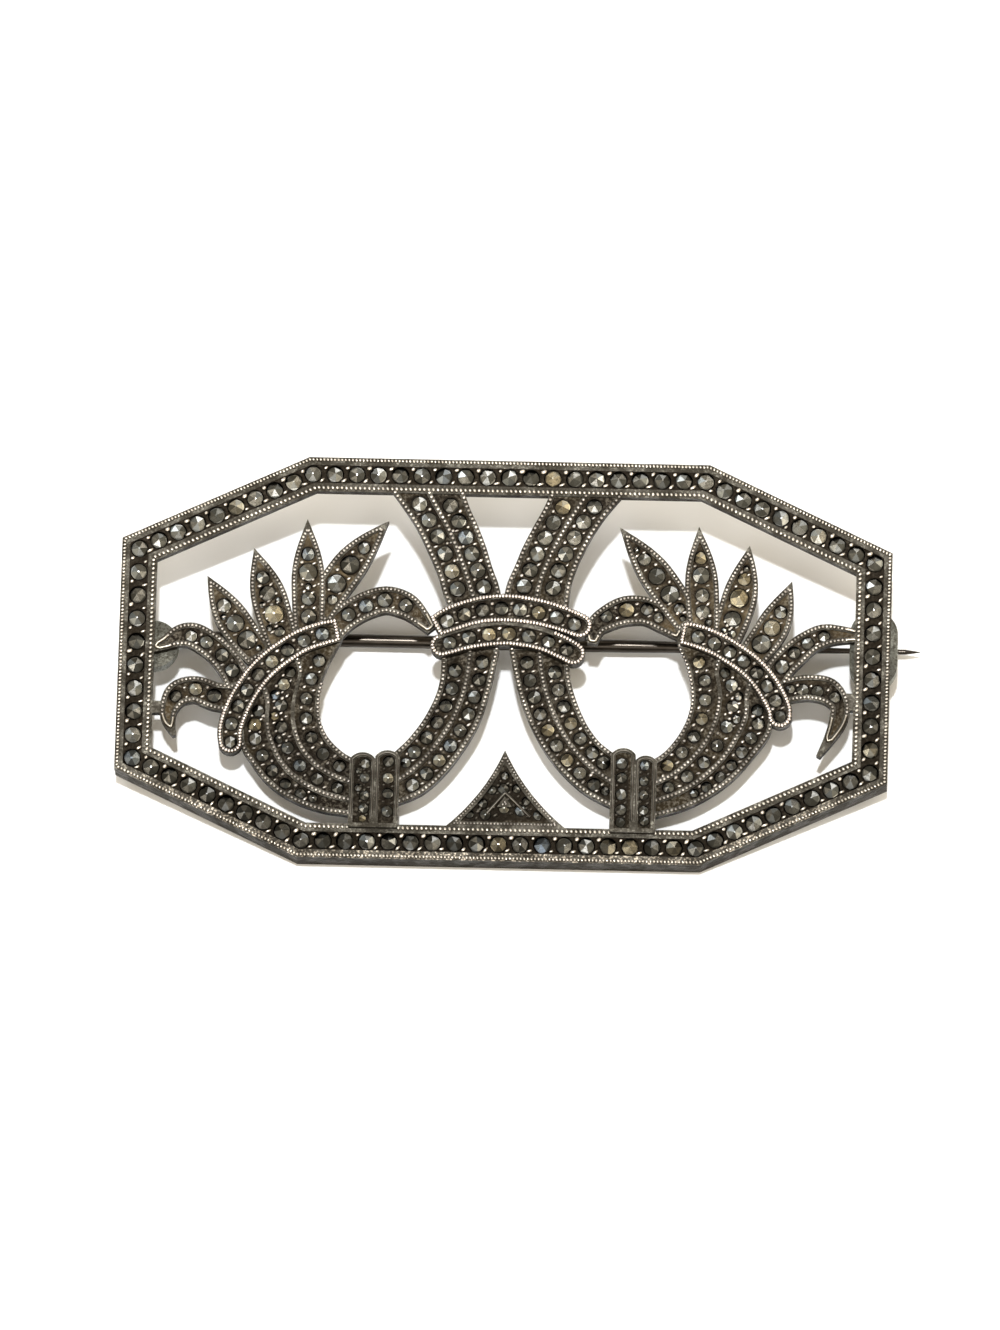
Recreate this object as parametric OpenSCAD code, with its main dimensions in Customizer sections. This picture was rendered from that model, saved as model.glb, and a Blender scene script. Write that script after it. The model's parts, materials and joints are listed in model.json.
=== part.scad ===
// Pierced silver brooch: two horns of leaves tied with a knot inside a long
// octagonal frame, set with small grey stones, a hinged pin across the back.
// Millimetres. The front is drawn flat, +Y to the upper bar, then laid down so
// that it rests on its hinge, its catch and the lower bar.

/* [Frame] */
// Width of the frame, side to side
frame_w = 58; // [57:0.25:59]
// Height of the frame, upper bar to lower bar
frame_h = 31.4; // [31:0.1:31.8]
// Length of the upper and lower bars along their outer edge
long_side = 30.2; // [29:0.1:31]
// Length of the two upright sides along their outer edge
short_side = 18.1; // [17.5:0.1:19]
// Width of the frame's bar
bar_w = 2.65; // [2.55:0.05:2.8]
// Distance from the outer edge to the middle of the row of stones
row_inset = 1.3; // [1.2:0.05:1.35]

/* [Silver] */
// Thickness of the frame, without its outer wall
plate_t = 1.1; // [1:0.05:1.3]
// How far the thinner pierced work lies in front of the frame's back
work_back = 0.4; // [0.2:0.05:0.45]
// Depth of the channels that hold the stones
channel_d = 0.4; // [0.3:0.05:0.5]
// Width of the rims beside the channels
rim_w = 0.36; // [0.3:0.02:0.4]
// How far the frame's outer wall reaches behind the plate
wall_h = 0.9; // [0.7:0.1:1.1]
// Thickness of the frame's outer wall
wall_t = 0.55; // [0.45:0.05:0.7]
// How far the knot stands above the plate
tie_rise = 0.55; // [0.4:0.05:0.7]
// How far the horns' mouth rims stand above the plate
mouth_rise = 0.25; // [0.2:0.05:0.4]
// How far the bindings of the horns stand above the plate
wrap_rise = 0.35; // [0.2:0.05:0.45]

/* [Stones] */
// Width of a stone in the frame
frame_stone = 1.2; // [1.1:0.05:1.25]
// Width of a stone in the two bands over the knot
band_stone = 1.1; // [1:0.05:1.15]
// Width of a stone in the knot
tie_stone = 1; // [0.9:0.05:1.05]
// Width of a stone in the tails under the knot
tail_stone = 0.95; // [0.85:0.05:1]
// Width of a stone in the horns
horn_stone = 0.9; // [0.8:0.05:0.95]
// Width of a stone in the horns' mouth rims
mouth_stone = 0.95; // [0.85:0.05:1]

/* [Pin] */
// Diameter of the pin wire
pin_d = 1; // [0.9:0.05:1.05]
// Depth of the pin's axis behind the plate
pin_drop = 2.8; // [2.7:0.05:3]
// Height of the pin's axis above the middle of the frame
pin_y = 2.5; // [2.2:0.1:2.6]
// How far the point of the pin stands out past the frame
point_out = 2.2; // [1.6:0.1:2.4]
// Diameter of the pin where it lies in the catch
catch_pin_d = 0.4; // [0.3:0.05:0.45]
// Distance of the hinge from the frame's outer edge
hinge_inset = 1.7; // [1.6:0.1:2.4]
// Distance of the middle of the catch from the frame's outer edge
catch_inset = 1.25; // [1.2:0.05:1.5]

/* [Hidden] */

silver = [0.60, 0.57, 0.53];
marcasite = [0.30, 0.31, 0.31];
steel = [0.24, 0.22, 0.21];

curve_steps = 5;        // points that a curve gets between two rows of its table
clean = 0.02;           // closes hairline slits where outlines overlap
over = 0.3;             // how far joined solids run into each other
raised_base = work_back + 0.15;  // where the raised pieces start
solder_z = work_back + 0.1;      // how far up the pieces soldered to the back reach
stone_gap = 0.02;       // between a stone and the floor under it
turn = 37;              // each stone is turned on by this angle, so that facets differ
circle_fn = 48;

// The bands over the knot, from the frame down: outer edge x, y, inner edge x, y.
// Tables that start with RIGHT_ are drawn on the left too, and mirrored.
LEFT_BAND = [
    [-9.2, 13.7, -3.5, 13.7], [-7.95, 12.0, -3.0, 12.1], [-6.9, 10.4, -2.3, 10.6],
    [-6.0, 8.6, -1.65, 9.0], [-5.2, 6.8, -1.1, 7.3], [-4.7, 5.2, -0.6, 6.0], [-4.3, 4.2, -0.3, 4.8]];
RIGHT_BAND = [
    [-9.0, 13.7, -3.3, 13.7], [-7.5, 11.8, -2.7, 12.1], [-6.6, 10.4, -2.0, 10.7],
    [-5.9, 9.0, -1.2, 9.0], [-5.3, 7.6, -0.65, 7.5], [-4.9, 6.2, -0.1, 6.1], [-4.7, 4.4, 0.15, 4.8]];

// The tails under the knot, from the knot down: opening side x, y, middle side x, y
LEFT_TAIL = [
    [-4.7, 0.8, -0.4, 0.9], [-4.7, -1.2, -0.75, -1.2], [-5.0, -2.8, -1.15, -3.0],
    [-5.8, -4.6, -1.75, -5.0], [-6.8, -6.1, -2.8, -7.0], [-7.7, -7.1, -4.2, -9.0],
    [-8.6, -7.9, -5.9, -10.6], [-9.6, -8.5, -8.1, -11.6]];
RIGHT_TAIL = [
    [-4.9, 0.8, -0.4, 0.9], [-5.0, -1.2, -0.85, -1.2], [-5.5, -3.0, -1.35, -3.0],
    [-6.3, -4.8, -2.1, -4.9], [-7.2, -6.1, -3.2, -6.9], [-8.0, -6.8, -4.6, -8.7],
    [-9.0, -7.5, -6.4, -10.3], [-10.0, -8.1, -8.5, -11.4]];

// The horns, from under the mouth rim to the binding: inner edge x, y, outer edge x, y
LEFT_HORN = [
    [-12.2, 2.3, -21.2, -2.6], [-12.2, 1.5, -19.9, -5.2], [-13.1, -0.4, -19.5, -7.2],
    [-13.75, -2.4, -18.7, -8.5], [-13.8, -4.4, -17.5, -10.0], [-13.2, -6.1, -15.8, -11.2],
    [-12.0, -7.4, -13.6, -12.05], [-10.6, -8.2, -11.2, -12.4]];
RIGHT_HORN = [
    [-13.0, 2.5, -21.6, -1.4], [-13.0, 1.8, -20.5, -3.5], [-13.8, -0.1, -20.1, -5.4],
    [-14.2, -2.2, -18.9, -7.2], [-14.0, -4.0, -17.4, -9.0], [-13.3, -5.6, -15.6, -10.4],
    [-12.2, -7.0, -13.7, -11.4], [-11.0, -7.8, -11.4, -12.1]];
HORN_RIBS = [0, 0.40, 0.715, 1];    // where the ribs of a horn lie, from the inner edge
// Rows of stones in a horn: place across it, stones, free at the mouth, free at the binding
LEFT_HORN_ROWS = [[0.21, 7, 1.6, 1.5], [0.557, 7, 1.9, 1.3], [0.858, 5, 4.9, 4.0]];
RIGHT_HORN_ROWS = [[0.21, 7, 1.5, 1.6], [0.557, 7, 2.0, 1.5], [0.858, 6, 3.9, 4.6]];

// The mouth rims, from the knot outwards: middle x, y, width
LEFT_MOUTH = [
    [-12.5, 2.05, 1.8], [-13.7, 1.75, 1.9], [-15.2, 1.15, 1.9], [-16.4, 0.35, 1.9],
    [-17.5, -0.55, 1.9], [-18.5, -1.65, 1.9], [-19.4, -3.1, 1.9], [-20.1, -4.7, 1.9],
    [-20.4, -6.0, 1.85], [-20.35, -6.9, 1.8]];
RIGHT_MOUTH = [
    [-13.3, 2.4, 1.8], [-14.5, 2.15, 1.9], [-15.9, 1.6, 1.9], [-17.2, 0.85, 1.9],
    [-18.4, 0.0, 1.9], [-19.4, -1.0, 1.9], [-20.2, -2.2, 1.9], [-20.75, -3.3, 1.85],
    [-20.85, -4.0, 1.8]];

// The curled leaves, from the horn to the tip: middle x, y, width
LEFT_CURLS = [
    [[-19.8, -2.4, 2.0], [-20.4, -1.15, 2.0], [-21.3, 0.05, 2.0], [-22.4, 0.95, 1.95],
     [-23.5, 1.5, 1.9], [-24.5, 1.4, 1.6], [-25.5, 0.85, 1.0], [-26.7, 0.35, 0.6]],
    [[-20.0, -3.4, 2.2], [-21.6, -3.25, 2.1], [-23.1, -2.75, 2.0], [-24.4, -3.1, 1.95],
     [-25.05, -4.2, 1.4], [-25.05, -5.2, 1.0], [-24.6, -6.4, 0.25]],
    [[-12.9, 2.2, 1.9], [-12.0, 3.2, 2.0], [-10.6, 4.1, 2.05], [-9.0, 4.6, 2.05],
     [-7.5, 4.2, 1.95], [-6.4, 3.3, 1.4], [-5.5, 2.3, 0.8]]];
RIGHT_CURLS = [
    [[-20.0, -1.5, 2.0], [-20.9, 0.0, 2.0], [-21.8, 1.0, 2.0], [-22.8, 1.9, 1.8],
     [-24.0, 2.5, 1.7], [-25.3, 2.6, 1.3], [-26.7, 2.5, 0.9]],
    [[-20.3, -2.2, 2.0], [-21.6, -1.8, 1.9], [-23.0, -1.6, 1.95], [-24.4, -1.85, 2.0],
     [-25.3, -2.9, 1.5], [-25.2, -4.2, 1.3], [-24.6, -5.6, 0.8], [-23.8, -7.0, 0.3]],
    [[-13.4, 2.7, 1.7], [-11.9, 3.5, 1.9], [-10.6, 4.15, 2.1], [-9.1, 4.15, 2.2],
     [-7.8, 3.6, 1.9], [-6.85, 2.8, 1.5], [-6.6, 1.5, 0.7]]];
// Where solder joins the lower curled leaves to the frame: x, y, width, height
LEFT_BRIDGE = [-26.0, -4.2, 1.3, 0.9];
RIGHT_BRIDGE = [-26.1, -2.7, 1.2, 1.3];

// The upright leaves, the one on top last: tip x, y, foot x, y, width, bow,
// stones as distance from the tip and width
LEFT_LEAVES = [
    [-22.5, 6.15, -18.3, -0.1, 2.5, -0.2, [[2.6, 1.05], [4.25, 1.25], [5.85, 1.35]]],
    [-19.05, 8.4, -16.6, 0.8, 2.7, 0, [[2.35, 1.05], [3.65, 1.15], [5.35, 1.4], [6.75, 0.8]]],
    [-9.0, 10.75, -14.2, 3.2, 2.6, -0.35, [[2.75, 0.95], [4.45, 1.35], [6.25, 1.35]]],
    [-15.1, 10.75, -14.75, 1.9, 2.5, 0, [[2.65, 1.1], [4.1, 1.3], [5.2, 0.5], [6.15, 1], [7.6, 1.1]]]];
RIGHT_LEAVES = [
    [-21.5, 6.65, -18.2, 0.2, 2.45, -0.4, [[2.5, 1.0], [3.9, 1.2], [5.4, 1.35]]],
    [-18.25, 9.4, -16.4, 1.7, 2.6, -0.3, [[2.6, 0.95], [4.15, 1.35], [5.9, 1.2]]],
    [-8.5, 10.6, -13.9, 3.2, 2.5, -0.1, [[3.0, 0.95], [4.65, 1.2], [6.4, 1.3], [7.7, 0.8]]],
    [-14.4, 10.8, -15.0, 2.2, 2.5, 0, [[2.4, 1.1], [3.75, 1.2], [5.35, 1], [6.65, 1]]]];

// The two strands of the knot, left to right: middle x, y, width
TIE_UPPER = [
    [-5.2, 2.4, 1.6], [-4.2, 2.95, 1.9], [-2.8, 3.5, 2.0], [-1.4, 3.85, 2.05],
    [0.1, 3.95, 2.1], [1.5, 3.85, 2.05], [2.9, 3.6, 2.0], [4.3, 3.2, 1.9], [5.6, 2.7, 1.8]];
TIE_LOWER = [
    [-4.65, 0.95, 1.7], [-4.0, 1.2, 1.75], [-2.7, 1.6, 1.8], [-1.3, 1.88, 1.85],
    [0.1, 2.0, 1.85], [1.6, 1.85, 1.8], [3.1, 1.5, 1.75], [4.5, 0.9, 1.75], [5.2, 0.5, 1.7]];

// The ribs that bind horn and tail: left x, right x, top y
LEFT_WRAPS = [[-11.3, -9.4, -7.55], [-9.4, -7.6, -7.35]];
RIGHT_WRAPS = [[-11.7, -10.1, -7.35], [-10.1, -8.3, -6.8]];

// The triangle on the lower bar: its point, its two feet, how far its sides bow in
TRI_POINT = [0.3, -7.1];
TRI_LEFT = [-4.1, -13.2];
TRI_RIGHT = [5.1, -13.2];
TRI_BOW = 0.45;

half_w = frame_w / 2;
half_h = frame_h / 2;
floor_z = plate_t - channel_d;
inner_y = half_h - bar_w;
channel_w = 1.45;                        // channel of the frame, straight across
ledge_w = 0.55;
hinge_x = -half_w + hinge_inset;
catch_x = half_w - catch_inset;

// Hinge: two ears carry a rivet, and the pin's eye turns on it
rivet_d = 0.7;
rivet_play = 0.05;
ear_r = 0.9;
ear_t = 0.5;
eye_r = 0.82;
eye_w = 0.9;
ear_gap = eye_w + 0.12;
neck_d = 0.7 * pin_d;                    // the wire tapers towards the eye
neck_end = ear_r + 0.25;
rivet_head_r = 0.55;
rivet_head_t = 0.22;
disc_t = 0.7;
hinge_disc_r = 1.85;
hinge_disc_x = hinge_x + 0.9;
hinge_disc_y = pin_y - 1.6;

// Catch: a rolled strip around the pin, open on the side that faces away from the plate
catch_disc_r = 1.8;
catch_disc_y = pin_y - 0.85;
catch_disc_long = 2.4;                   // its two straight sides
catch_in_r = 1.05;
catch_out_r = 1.5;
catch_y = pin_y - 0.55;                  // middle of the roll
catch_z = -pin_drop + 0.35;
catch_len = 3.5;
catch_round_r = 1.95;                    // the strip was cut round before it was rolled
catch_lip = -30;                         // the strip's two ends, seen along the pin, in degrees
catch_foot = 232;
catch_post = 0.9;

// Resting pose: the hinge's ears and the lower bar's back edge touch the surface
ear_low_y = pin_y - ear_gap / 2 - ear_t;
rest_tilt = atan2(pin_drop + ear_r - wall_h, half_h + ear_low_y);
rest_lift = half_h * sin(rest_tilt) + wall_h * cos(rest_tilt);
rest_x = -point_out / 2;
rest_y = (plate_t - wall_h) / 2 * sin(rest_tilt);

// Octagon shrunk by an even distance all round
function octagon(inset = 0) =
    let (w = half_w - inset, h = half_h - inset,
         lean = atan2(half_h - short_side / 2, half_w - long_side / 2),
         a = long_side / 2 - inset * tan(lean / 2),
         b = short_side / 2 - inset * tan((90 - lean) / 2))
    [[-w, -b], [-w, b], [-a, h], [a, h], [w, b], [w, -b], [a, -h], [-a, -h]];

// Point between rows b and c of a table, on a smooth curve that knows its neighbours
function between(a, b, c, d, t) =
    (2 * b + (c - a) * t + (2 * a - 5 * b + 4 * c - d) * t * t
        + (3 * b - a - 3 * c + d) * t * t * t) / 2;

// All the rows of a table joined by a smooth curve
function smooth(rows) =
    let (last = len(rows) - 1)
    [for (i = [0:last - 1], k = [0:curve_steps - 1])
        between(rows[max(i - 1, 0)], rows[i], rows[i + 1], rows[min(i + 2, last)], k / curve_steps),
     rows[last]];

// Middle line and width made into two edges: x, y, x, y
function edges(rows) =
    [for (i = [0:len(rows) - 1])
        let (a = rows[max(i - 1, 0)], b = rows[min(i + 1, len(rows) - 1)],
             way = [b.x - a.x, b.y - a.y] / norm([b.x - a.x, b.y - a.y]),
             side = [way.y, -way.x] * rows[i][2] / 2)
        [rows[i].x - side.x, rows[i].y - side.y, rows[i].x + side.x, rows[i].y + side.y]];

// Point at fraction f from edge to edge, moved on by e millimetres
function across(row, f, e = 0) =
    let (p = [row[0], row[1]], q = [row[2], row[3]])
    p + (q - p) * f + (q - p) / norm(q - p) * e;

// Outline of the strip between two such lines
function strip(rows, f1, e1, f2, e2) =
    concat([for (r = rows) across(r, f1, e1)],
           [for (i = [len(rows) - 1:-1:0]) across(rows[i], f2, e2)]);

// Length along a line of points, from its start to each point
function lengths(line) =
    [for (i = 0, s = 0; i < len(line); s = s + (i + 1 < len(line) ? norm(line[i + 1] - line[i]) : 0),
          i = i + 1) s];

// Point of a line at length s from its start
function along(line, run, s) =
    [lookup(s, [for (i = [0:len(line) - 1]) [run[i], line[i].x]]),
     lookup(s, [for (i = [0:len(line) - 1]) [run[i], line[i].y]])];

// Evenly spaced points on a line, the first and last so far from its ends
function spaced(line, count, first, last) =
    let (run = lengths(line), span = run[len(run) - 1] - first - last)
    [for (k = [0:count - 1]) along(line, run, first + span * k / (count - 1))];

// Points on the straight stretch from a to b, without b
function stretch(a, b, count) = [for (k = [0:count - 1]) a + (b - a) * k / count];

// Middle line of a leaf: a bow from its tip to its foot
function leaf_line(leaf, t) =
    let (tip = [leaf[0], leaf[1]], foot = [leaf[2], leaf[3]], way = foot - tip)
    tip + way * t + [-way.y, way.x] / norm(way) * leaf[5] * 4 * t * (1 - t);

// Half the width of a leaf: pointed at the tip, full from half way on
function leaf_half(leaf, t) =
    leaf[4] / 2 * (t < 0.55 ? sin(90 * t / 0.55) : 1 - 0.6 * pow(t - 0.55, 2));

// Outline of a leaf
function leaf_outline(leaf) =
    let (way = [leaf[2] - leaf[0], leaf[3] - leaf[1]], side = [-way.y, way.x] / norm(way), n = 14)
    concat([for (k = [0:n]) leaf_line(leaf, k / n) + side * leaf_half(leaf, k / n)],
           [for (k = [n:-1:1]) leaf_line(leaf, k / n) - side * leaf_half(leaf, k / n)]);

// Side of the triangle, bowed inwards
function bowed(a, b, bow) =
    [for (k = [0:8]) let (t = k / 8, way = b - a)
        a + way * t + [-way.y, way.x] / norm(way) * bow * 4 * t * (1 - t)];

// Turns the flat drawing into the resting pose
module lay() translate([rest_x, rest_y, rest_lift]) rotate([rest_tilt, 0, 0]) children();

// Draws its children on the left, or mirrored to the right
module on_side(right) mirror([right ? 1 : 0, 0, 0]) children();

// Outline of a band from its table of edges
module band(rows) polygon(strip(smooth(rows), 0, 0, 1, 0));

// Channels of a band, one between each two of its ribs
module channels(rows, ribs) {
    fine = smooth(rows);
    last = len(ribs) - 1;
    for (k = [0:last - 1])
        polygon(strip(fine, ribs[k], k == 0 ? rim_w : rim_w / 2,
                      ribs[k + 1], k == last - 1 ? -rim_w : -rim_w / 2));
}

// Outline of a strip that follows a middle line
module ribbon(rows, round_start = false, round_end = false) {
    tip = rows[len(rows) - 1];
    polygon(strip(edges(smooth(rows)), 0, 0, 1, 0));
    if (round_start) translate([rows[0].x, rows[0].y]) circle(d = rows[0][2], $fn = 24);
    if (round_end) translate([tip.x, tip.y]) circle(d = tip[2], $fn = 24);
}

module bridge(place) translate([place[0], place[1]]) square([place[2], place[3]], center = true);

module frame_outline() difference() {
    polygon(octagon());
    polygon(octagon(bar_w));
}

module frame_channel() difference() {
    polygon(octagon(row_inset - channel_w / 2));
    polygon(octagon(row_inset + channel_w / 2));
}

module triangle_outline() polygon(concat(
    bowed(TRI_POINT, TRI_LEFT, TRI_BOW), [for (k = [8:-1:1]) bowed(TRI_POINT, TRI_RIGHT, -TRI_BOW)[k]]));

// The triangle's channel goes round a small raised triangle
module triangle_channel() difference() {
    offset(delta = -rim_w) intersection() {
        triangle_outline();
        polygon(octagon(bar_w));
    }
    difference() {
        offset(delta = -1.75) triangle_outline();
        offset(delta = -2.05) triangle_outline();
    }
}

module mouth_outline(right) ribbon(right ? RIGHT_MOUTH : LEFT_MOUTH, round_end = true);

// Keeps of its children what lies inside the mouth rim, on the horn's side
module inside_mouth(right) difference() {
    children();
    polygon(strip(edges(smooth(right ? RIGHT_MOUTH : LEFT_MOUTH)), 0.5, 0, 1, 6));
}

module tie_outline() {
    ribbon(TIE_UPPER, round_end = true);
    ribbon(TIE_LOWER, round_start = true, round_end = true);
}

// One rib of a binding, with a scalloped top
module wrap_outline(rib) {
    w = rib[1] - rib[0];
    r = 0.6 * w;
    difference() {
        union() {
            translate([rib[0], -inner_y - over]) square([w, inner_y + over + rib[2] - r]);
            intersection() {
                translate([(rib[0] + rib[1]) / 2, rib[2] - r]) circle(r, $fn = 32);
                translate([rib[0], rib[2] - 2 * r]) square([w, 2 * r]);
            }
        }
        translate([rib[0] - 1, -inner_y - 2 * over]) square([w + 2, over]);
    }
}

module leaf_shapes(leaves, from = 0) for (i = [from:1:len(leaves) - 1]) polygon(leaf_outline(leaves[i]));

// Everything that lies in the plate, seen from the front
module plate_outline() {
    frame_outline();
    triangle_outline();
    for (right = [false, true]) on_side(right) {
        band(right ? RIGHT_BAND : LEFT_BAND);
        band(right ? RIGHT_TAIL : LEFT_TAIL);
        inside_mouth(right) band(right ? RIGHT_HORN : LEFT_HORN);
        leaf_shapes(right ? RIGHT_LEAVES : LEFT_LEAVES);
        for (curl = right ? RIGHT_CURLS : LEFT_CURLS) ribbon(curl);
        bridge(right ? RIGHT_BRIDGE : LEFT_BRIDGE);
    }
}

// The channels of the plate: a leaf's channel stays off the leaves that lie on it
module plate_channels() {
    frame_channel();
    triangle_channel();
    difference() {
        for (right = [false, true]) on_side(right) {
            leaves = right ? RIGHT_LEAVES : LEFT_LEAVES;
            channels(right ? RIGHT_BAND : LEFT_BAND, [0, 0.5, 1]);
            channels(right ? RIGHT_TAIL : LEFT_TAIL, [0, 0.5, 1]);
            inside_mouth(right) channels(right ? RIGHT_HORN : LEFT_HORN, HORN_RIBS);
            for (i = [0:len(leaves) - 1]) difference() {
                offset(delta = -rim_w) polygon(leaf_outline(leaves[i]));
                leaf_shapes(leaves, i + 1);
            }
            difference() {
                for (curl = right ? RIGHT_CURLS : LEFT_CURLS) offset(delta = -rim_w) ribbon(curl);
                leaf_shapes(leaves);
            }
        }
        frame_outline();
    }
}

// The plate with the two raised mouth rims, which are sunk into it between their own rims
module plate() difference() {
    union() {
        difference() {
            translate([0, 0, work_back]) linear_extrude(plate_t - work_back)
                offset(delta = clean) plate_outline();
            translate([0, 0, floor_z]) linear_extrude(plate_t) offset(delta = -clean) plate_channels();
        }
        for (right = [false, true]) on_side(right) translate([0, 0, raised_base])
            linear_extrude(plate_t + mouth_rise - raised_base) offset(delta = clean) mouth_outline(right);
    }
    for (right = [false, true]) on_side(right) translate([0, 0, floor_z + mouth_rise])
        linear_extrude(plate_t) offset(delta = -rim_w) mouth_outline(right);
}

// A piece that stands up out of the plate, sunk again between its rims
module raised(rise, depth) difference() {
    translate([0, 0, raised_base]) linear_extrude(plate_t + rise - raised_base)
        offset(delta = clean) children(0);
    translate([0, 0, plate_t + rise - depth]) linear_extrude(plate_t) offset(delta = -clean) children(1);
}

module tie() raised(tie_rise, channel_d) {
    tie_outline();
    union() {
        offset(delta = -rim_w * 0.8) ribbon(TIE_UPPER, round_end = true);
        difference() {
            offset(delta = -rim_w * 0.8) ribbon(TIE_LOWER, round_start = true, round_end = true);
            ribbon(TIE_UPPER, round_end = true);
        }
    }
}

module wraps() for (right = [false, true]) on_side(right) raised(wrap_rise, channel_d * 0.6) {
    for (rib = right ? RIGHT_WRAPS : LEFT_WRAPS) wrap_outline(rib);
    for (rib = right ? RIGHT_WRAPS : LEFT_WRAPS) offset(delta = -rim_w * 0.8) wrap_outline(rib);
}

// Back of the frame, whose inner edge is as thin as the pierced work
module frame_back() linear_extrude(raised_base) difference() {
    polygon(octagon());
    polygon(octagon(bar_w - ledge_w));
}

// Outer wall of the frame, behind the plate
module rear_wall() translate([0, 0, -wall_h]) linear_extrude(wall_h + over) difference() {
    polygon(octagon());
    polygon(octagon(wall_t));
}

// Plate with round ends, soldered to the frame's back
module disc(x, y, r, long = 0) translate([x, y, -disc_t]) linear_extrude(disc_t + solder_z) {
    for (s = long > 0 ? [-1, 1] : [0]) translate([0, s * long / 2]) circle(r, $fn = circle_fn);
    if (long > 0) square([2 * r, long], center = true);
}

// Rod across the hinge
module cross_rod(r, w) translate([hinge_x, pin_y, -pin_drop]) rotate([90, 0, 0])
    cylinder(h = w, r = r, center = true, $fn = circle_fn);

module hinge_seat() {
    disc(hinge_disc_x, hinge_disc_y, hinge_disc_r);
    difference() {
        for (s = [-1, 1]) translate([0, s * (ear_gap + ear_t) / 2, 0]) {
            cross_rod(ear_r, ear_t);
            translate([hinge_x - 0.94 * ear_r, pin_y - ear_t / 2, -pin_drop])
                cube([1.88 * ear_r, ear_t, pin_drop + solder_z]);
        }
        cross_rod(rivet_d / 2 + 0.02, ear_gap + 3 * ear_t);
    }
}

module catch_hook() {
    disc(catch_x, catch_disc_y, catch_disc_r, catch_disc_long);
    intersection() {
        translate([catch_x - catch_len / 2, catch_y, catch_z]) rotate([90, 0, 90]) rotate([0, 0, catch_lip])
            rotate_extrude(angle = catch_foot - catch_lip, $fn = circle_fn)
                translate([catch_in_r, 0]) square([catch_out_r - catch_in_r, catch_len]);
        translate([catch_x, pin_y - 0.4, 2 * catch_z]) cylinder(h = 3 * pin_drop, r = catch_round_r, $fn = circle_fn);
    }
    translate([catch_x - catch_len / 2 + 0.5, catch_y - catch_post / 2, catch_z + catch_out_r - 0.25])
        cube([catch_len - 1, catch_post, -catch_z - catch_out_r + 0.25 - disc_t / 2]);
}

module silver_openwork() color(silver) lay() {
    plate();
    frame_back();
    rear_wall();
    tie();
    wraps();
    hinge_seat();
    catch_hook();
}

// Cut stone with eight facets round its table, as wide as d across the girdle
module stone(d) {
    flat = 0.48 * d;
    top = 0.2 * d;
    profile = [[-flat, 0], [flat, 0], [flat, 0.12 * d], [top, 0.38 * d], [-top, 0.38 * d], [-flat, 0.12 * d]];
    intersection_for (k = [0:3]) rotate([90, 0, 45 * k]) linear_extrude(2 * d, center = true) polygon(profile);
}

// Stones at the points of a list, on the floor of a channel
module stones(points, d, rise = 0) for (k = [0:len(points) - 1])
    translate([points[k].x, points[k].y, floor_z + rise + stone_gap]) rotate(turn * k) stone(d);

// Row of stones along a table: fraction across it, count, free ends
module row(rows, f, count, first, last, d, rise = 0) {
    line = [for (r = rows) across(r, f)];
    stones(spaced(line, count, first, last), d, rise);
}

module frame_stones() color(marcasite) lay() {
    corner = octagon(row_inset);
    counts = [9, 9, 18, 9, 9, 9, 18, 9];
    for (i = [0:7]) stones(stretch(corner[i], corner[(i + 1) % 8], counts[i]), frame_stone);
}

module band_stones() color(marcasite) lay() for (right = [false, true]) on_side(right) {
    rows = smooth(right ? RIGHT_BAND : LEFT_BAND);
    row(rows, 0.27, 6, 1.75, 1.3, band_stone);
    row(rows, 0.73, 6, 1.7, 1.2, band_stone);
}

module tie_stones() color(marcasite) lay() {
    row(edges(smooth(TIE_UPPER)), 0.5, 8, 0.95, 0.4, tie_stone, tie_rise);
    row(edges(smooth(TIE_LOWER)), 0.5, 7, 0.6, 0.6, tie_stone, tie_rise);
}

module tail_stones() color(marcasite) lay() for (right = [false, true]) on_side(right) {
    rows = smooth(right ? RIGHT_TAIL : LEFT_TAIL);
    row(rows, 0.26, 6, 1.65, 3.4, tail_stone);
    row(rows, 0.74, 9, 1.0, 2.1, tail_stone);
}

module horn_stones() color(marcasite) lay() for (right = [false, true]) on_side(right) {
    rows = smooth(right ? RIGHT_HORN : LEFT_HORN);
    for (r = right ? RIGHT_HORN_ROWS : LEFT_HORN_ROWS) row(rows, r[0], r[1], r[2], r[3], horn_stone);
}

module mouth_stones() color(marcasite) lay() {
    row(edges(smooth(LEFT_MOUTH)), 0.5, 9, 1.25, 0, mouth_stone, mouth_rise);
    on_side(true) row(edges(smooth(RIGHT_MOUTH)), 0.5, 8, 1.3, 0, mouth_stone, mouth_rise);
}

module leaf_stones() color(marcasite) lay() for (right = [false, true]) on_side(right)
    for (leaf = right ? RIGHT_LEAVES : LEFT_LEAVES) {
        line = [for (k = [0:20]) leaf_line(leaf, k / 20)];
        for (s = leaf[6]) stones([along(line, lengths(line), s[0])], s[1]);
    }

module hinge_rivet() color(steel) lay() {
    w = ear_gap + 2 * ear_t;
    cross_rod(rivet_d / 2, w + rivet_head_t);
    for (s = [-1, 1]) translate([0, s * (w / 2 + 0.02 + rivet_head_t / 2), 0])
        cross_rod(rivet_head_r, rivet_head_t);
}

module pin_stem() color(steel) lay() {
    reach = half_w + point_out - hinge_x;
    thin = catch_x - catch_len / 2 - hinge_x;
    profile = [[0, 0.55], [neck_d / 2, 0.55], [pin_d / 2, neck_end], [pin_d / 2, 0.62 * reach],
               [catch_pin_d / 2, thin], [catch_pin_d / 2, reach - 1.1], [0.03, reach], [0, reach]];
    difference() {
        union() {
            cross_rod(eye_r, eye_w);
            translate([hinge_x, pin_y, -pin_drop]) rotate([0, 90, 0])
                rotate_extrude($fn = circle_fn) polygon(profile);
        }
        cross_rod(rivet_d / 2 + rivet_play, 2 * eye_w);
    }
}

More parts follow.
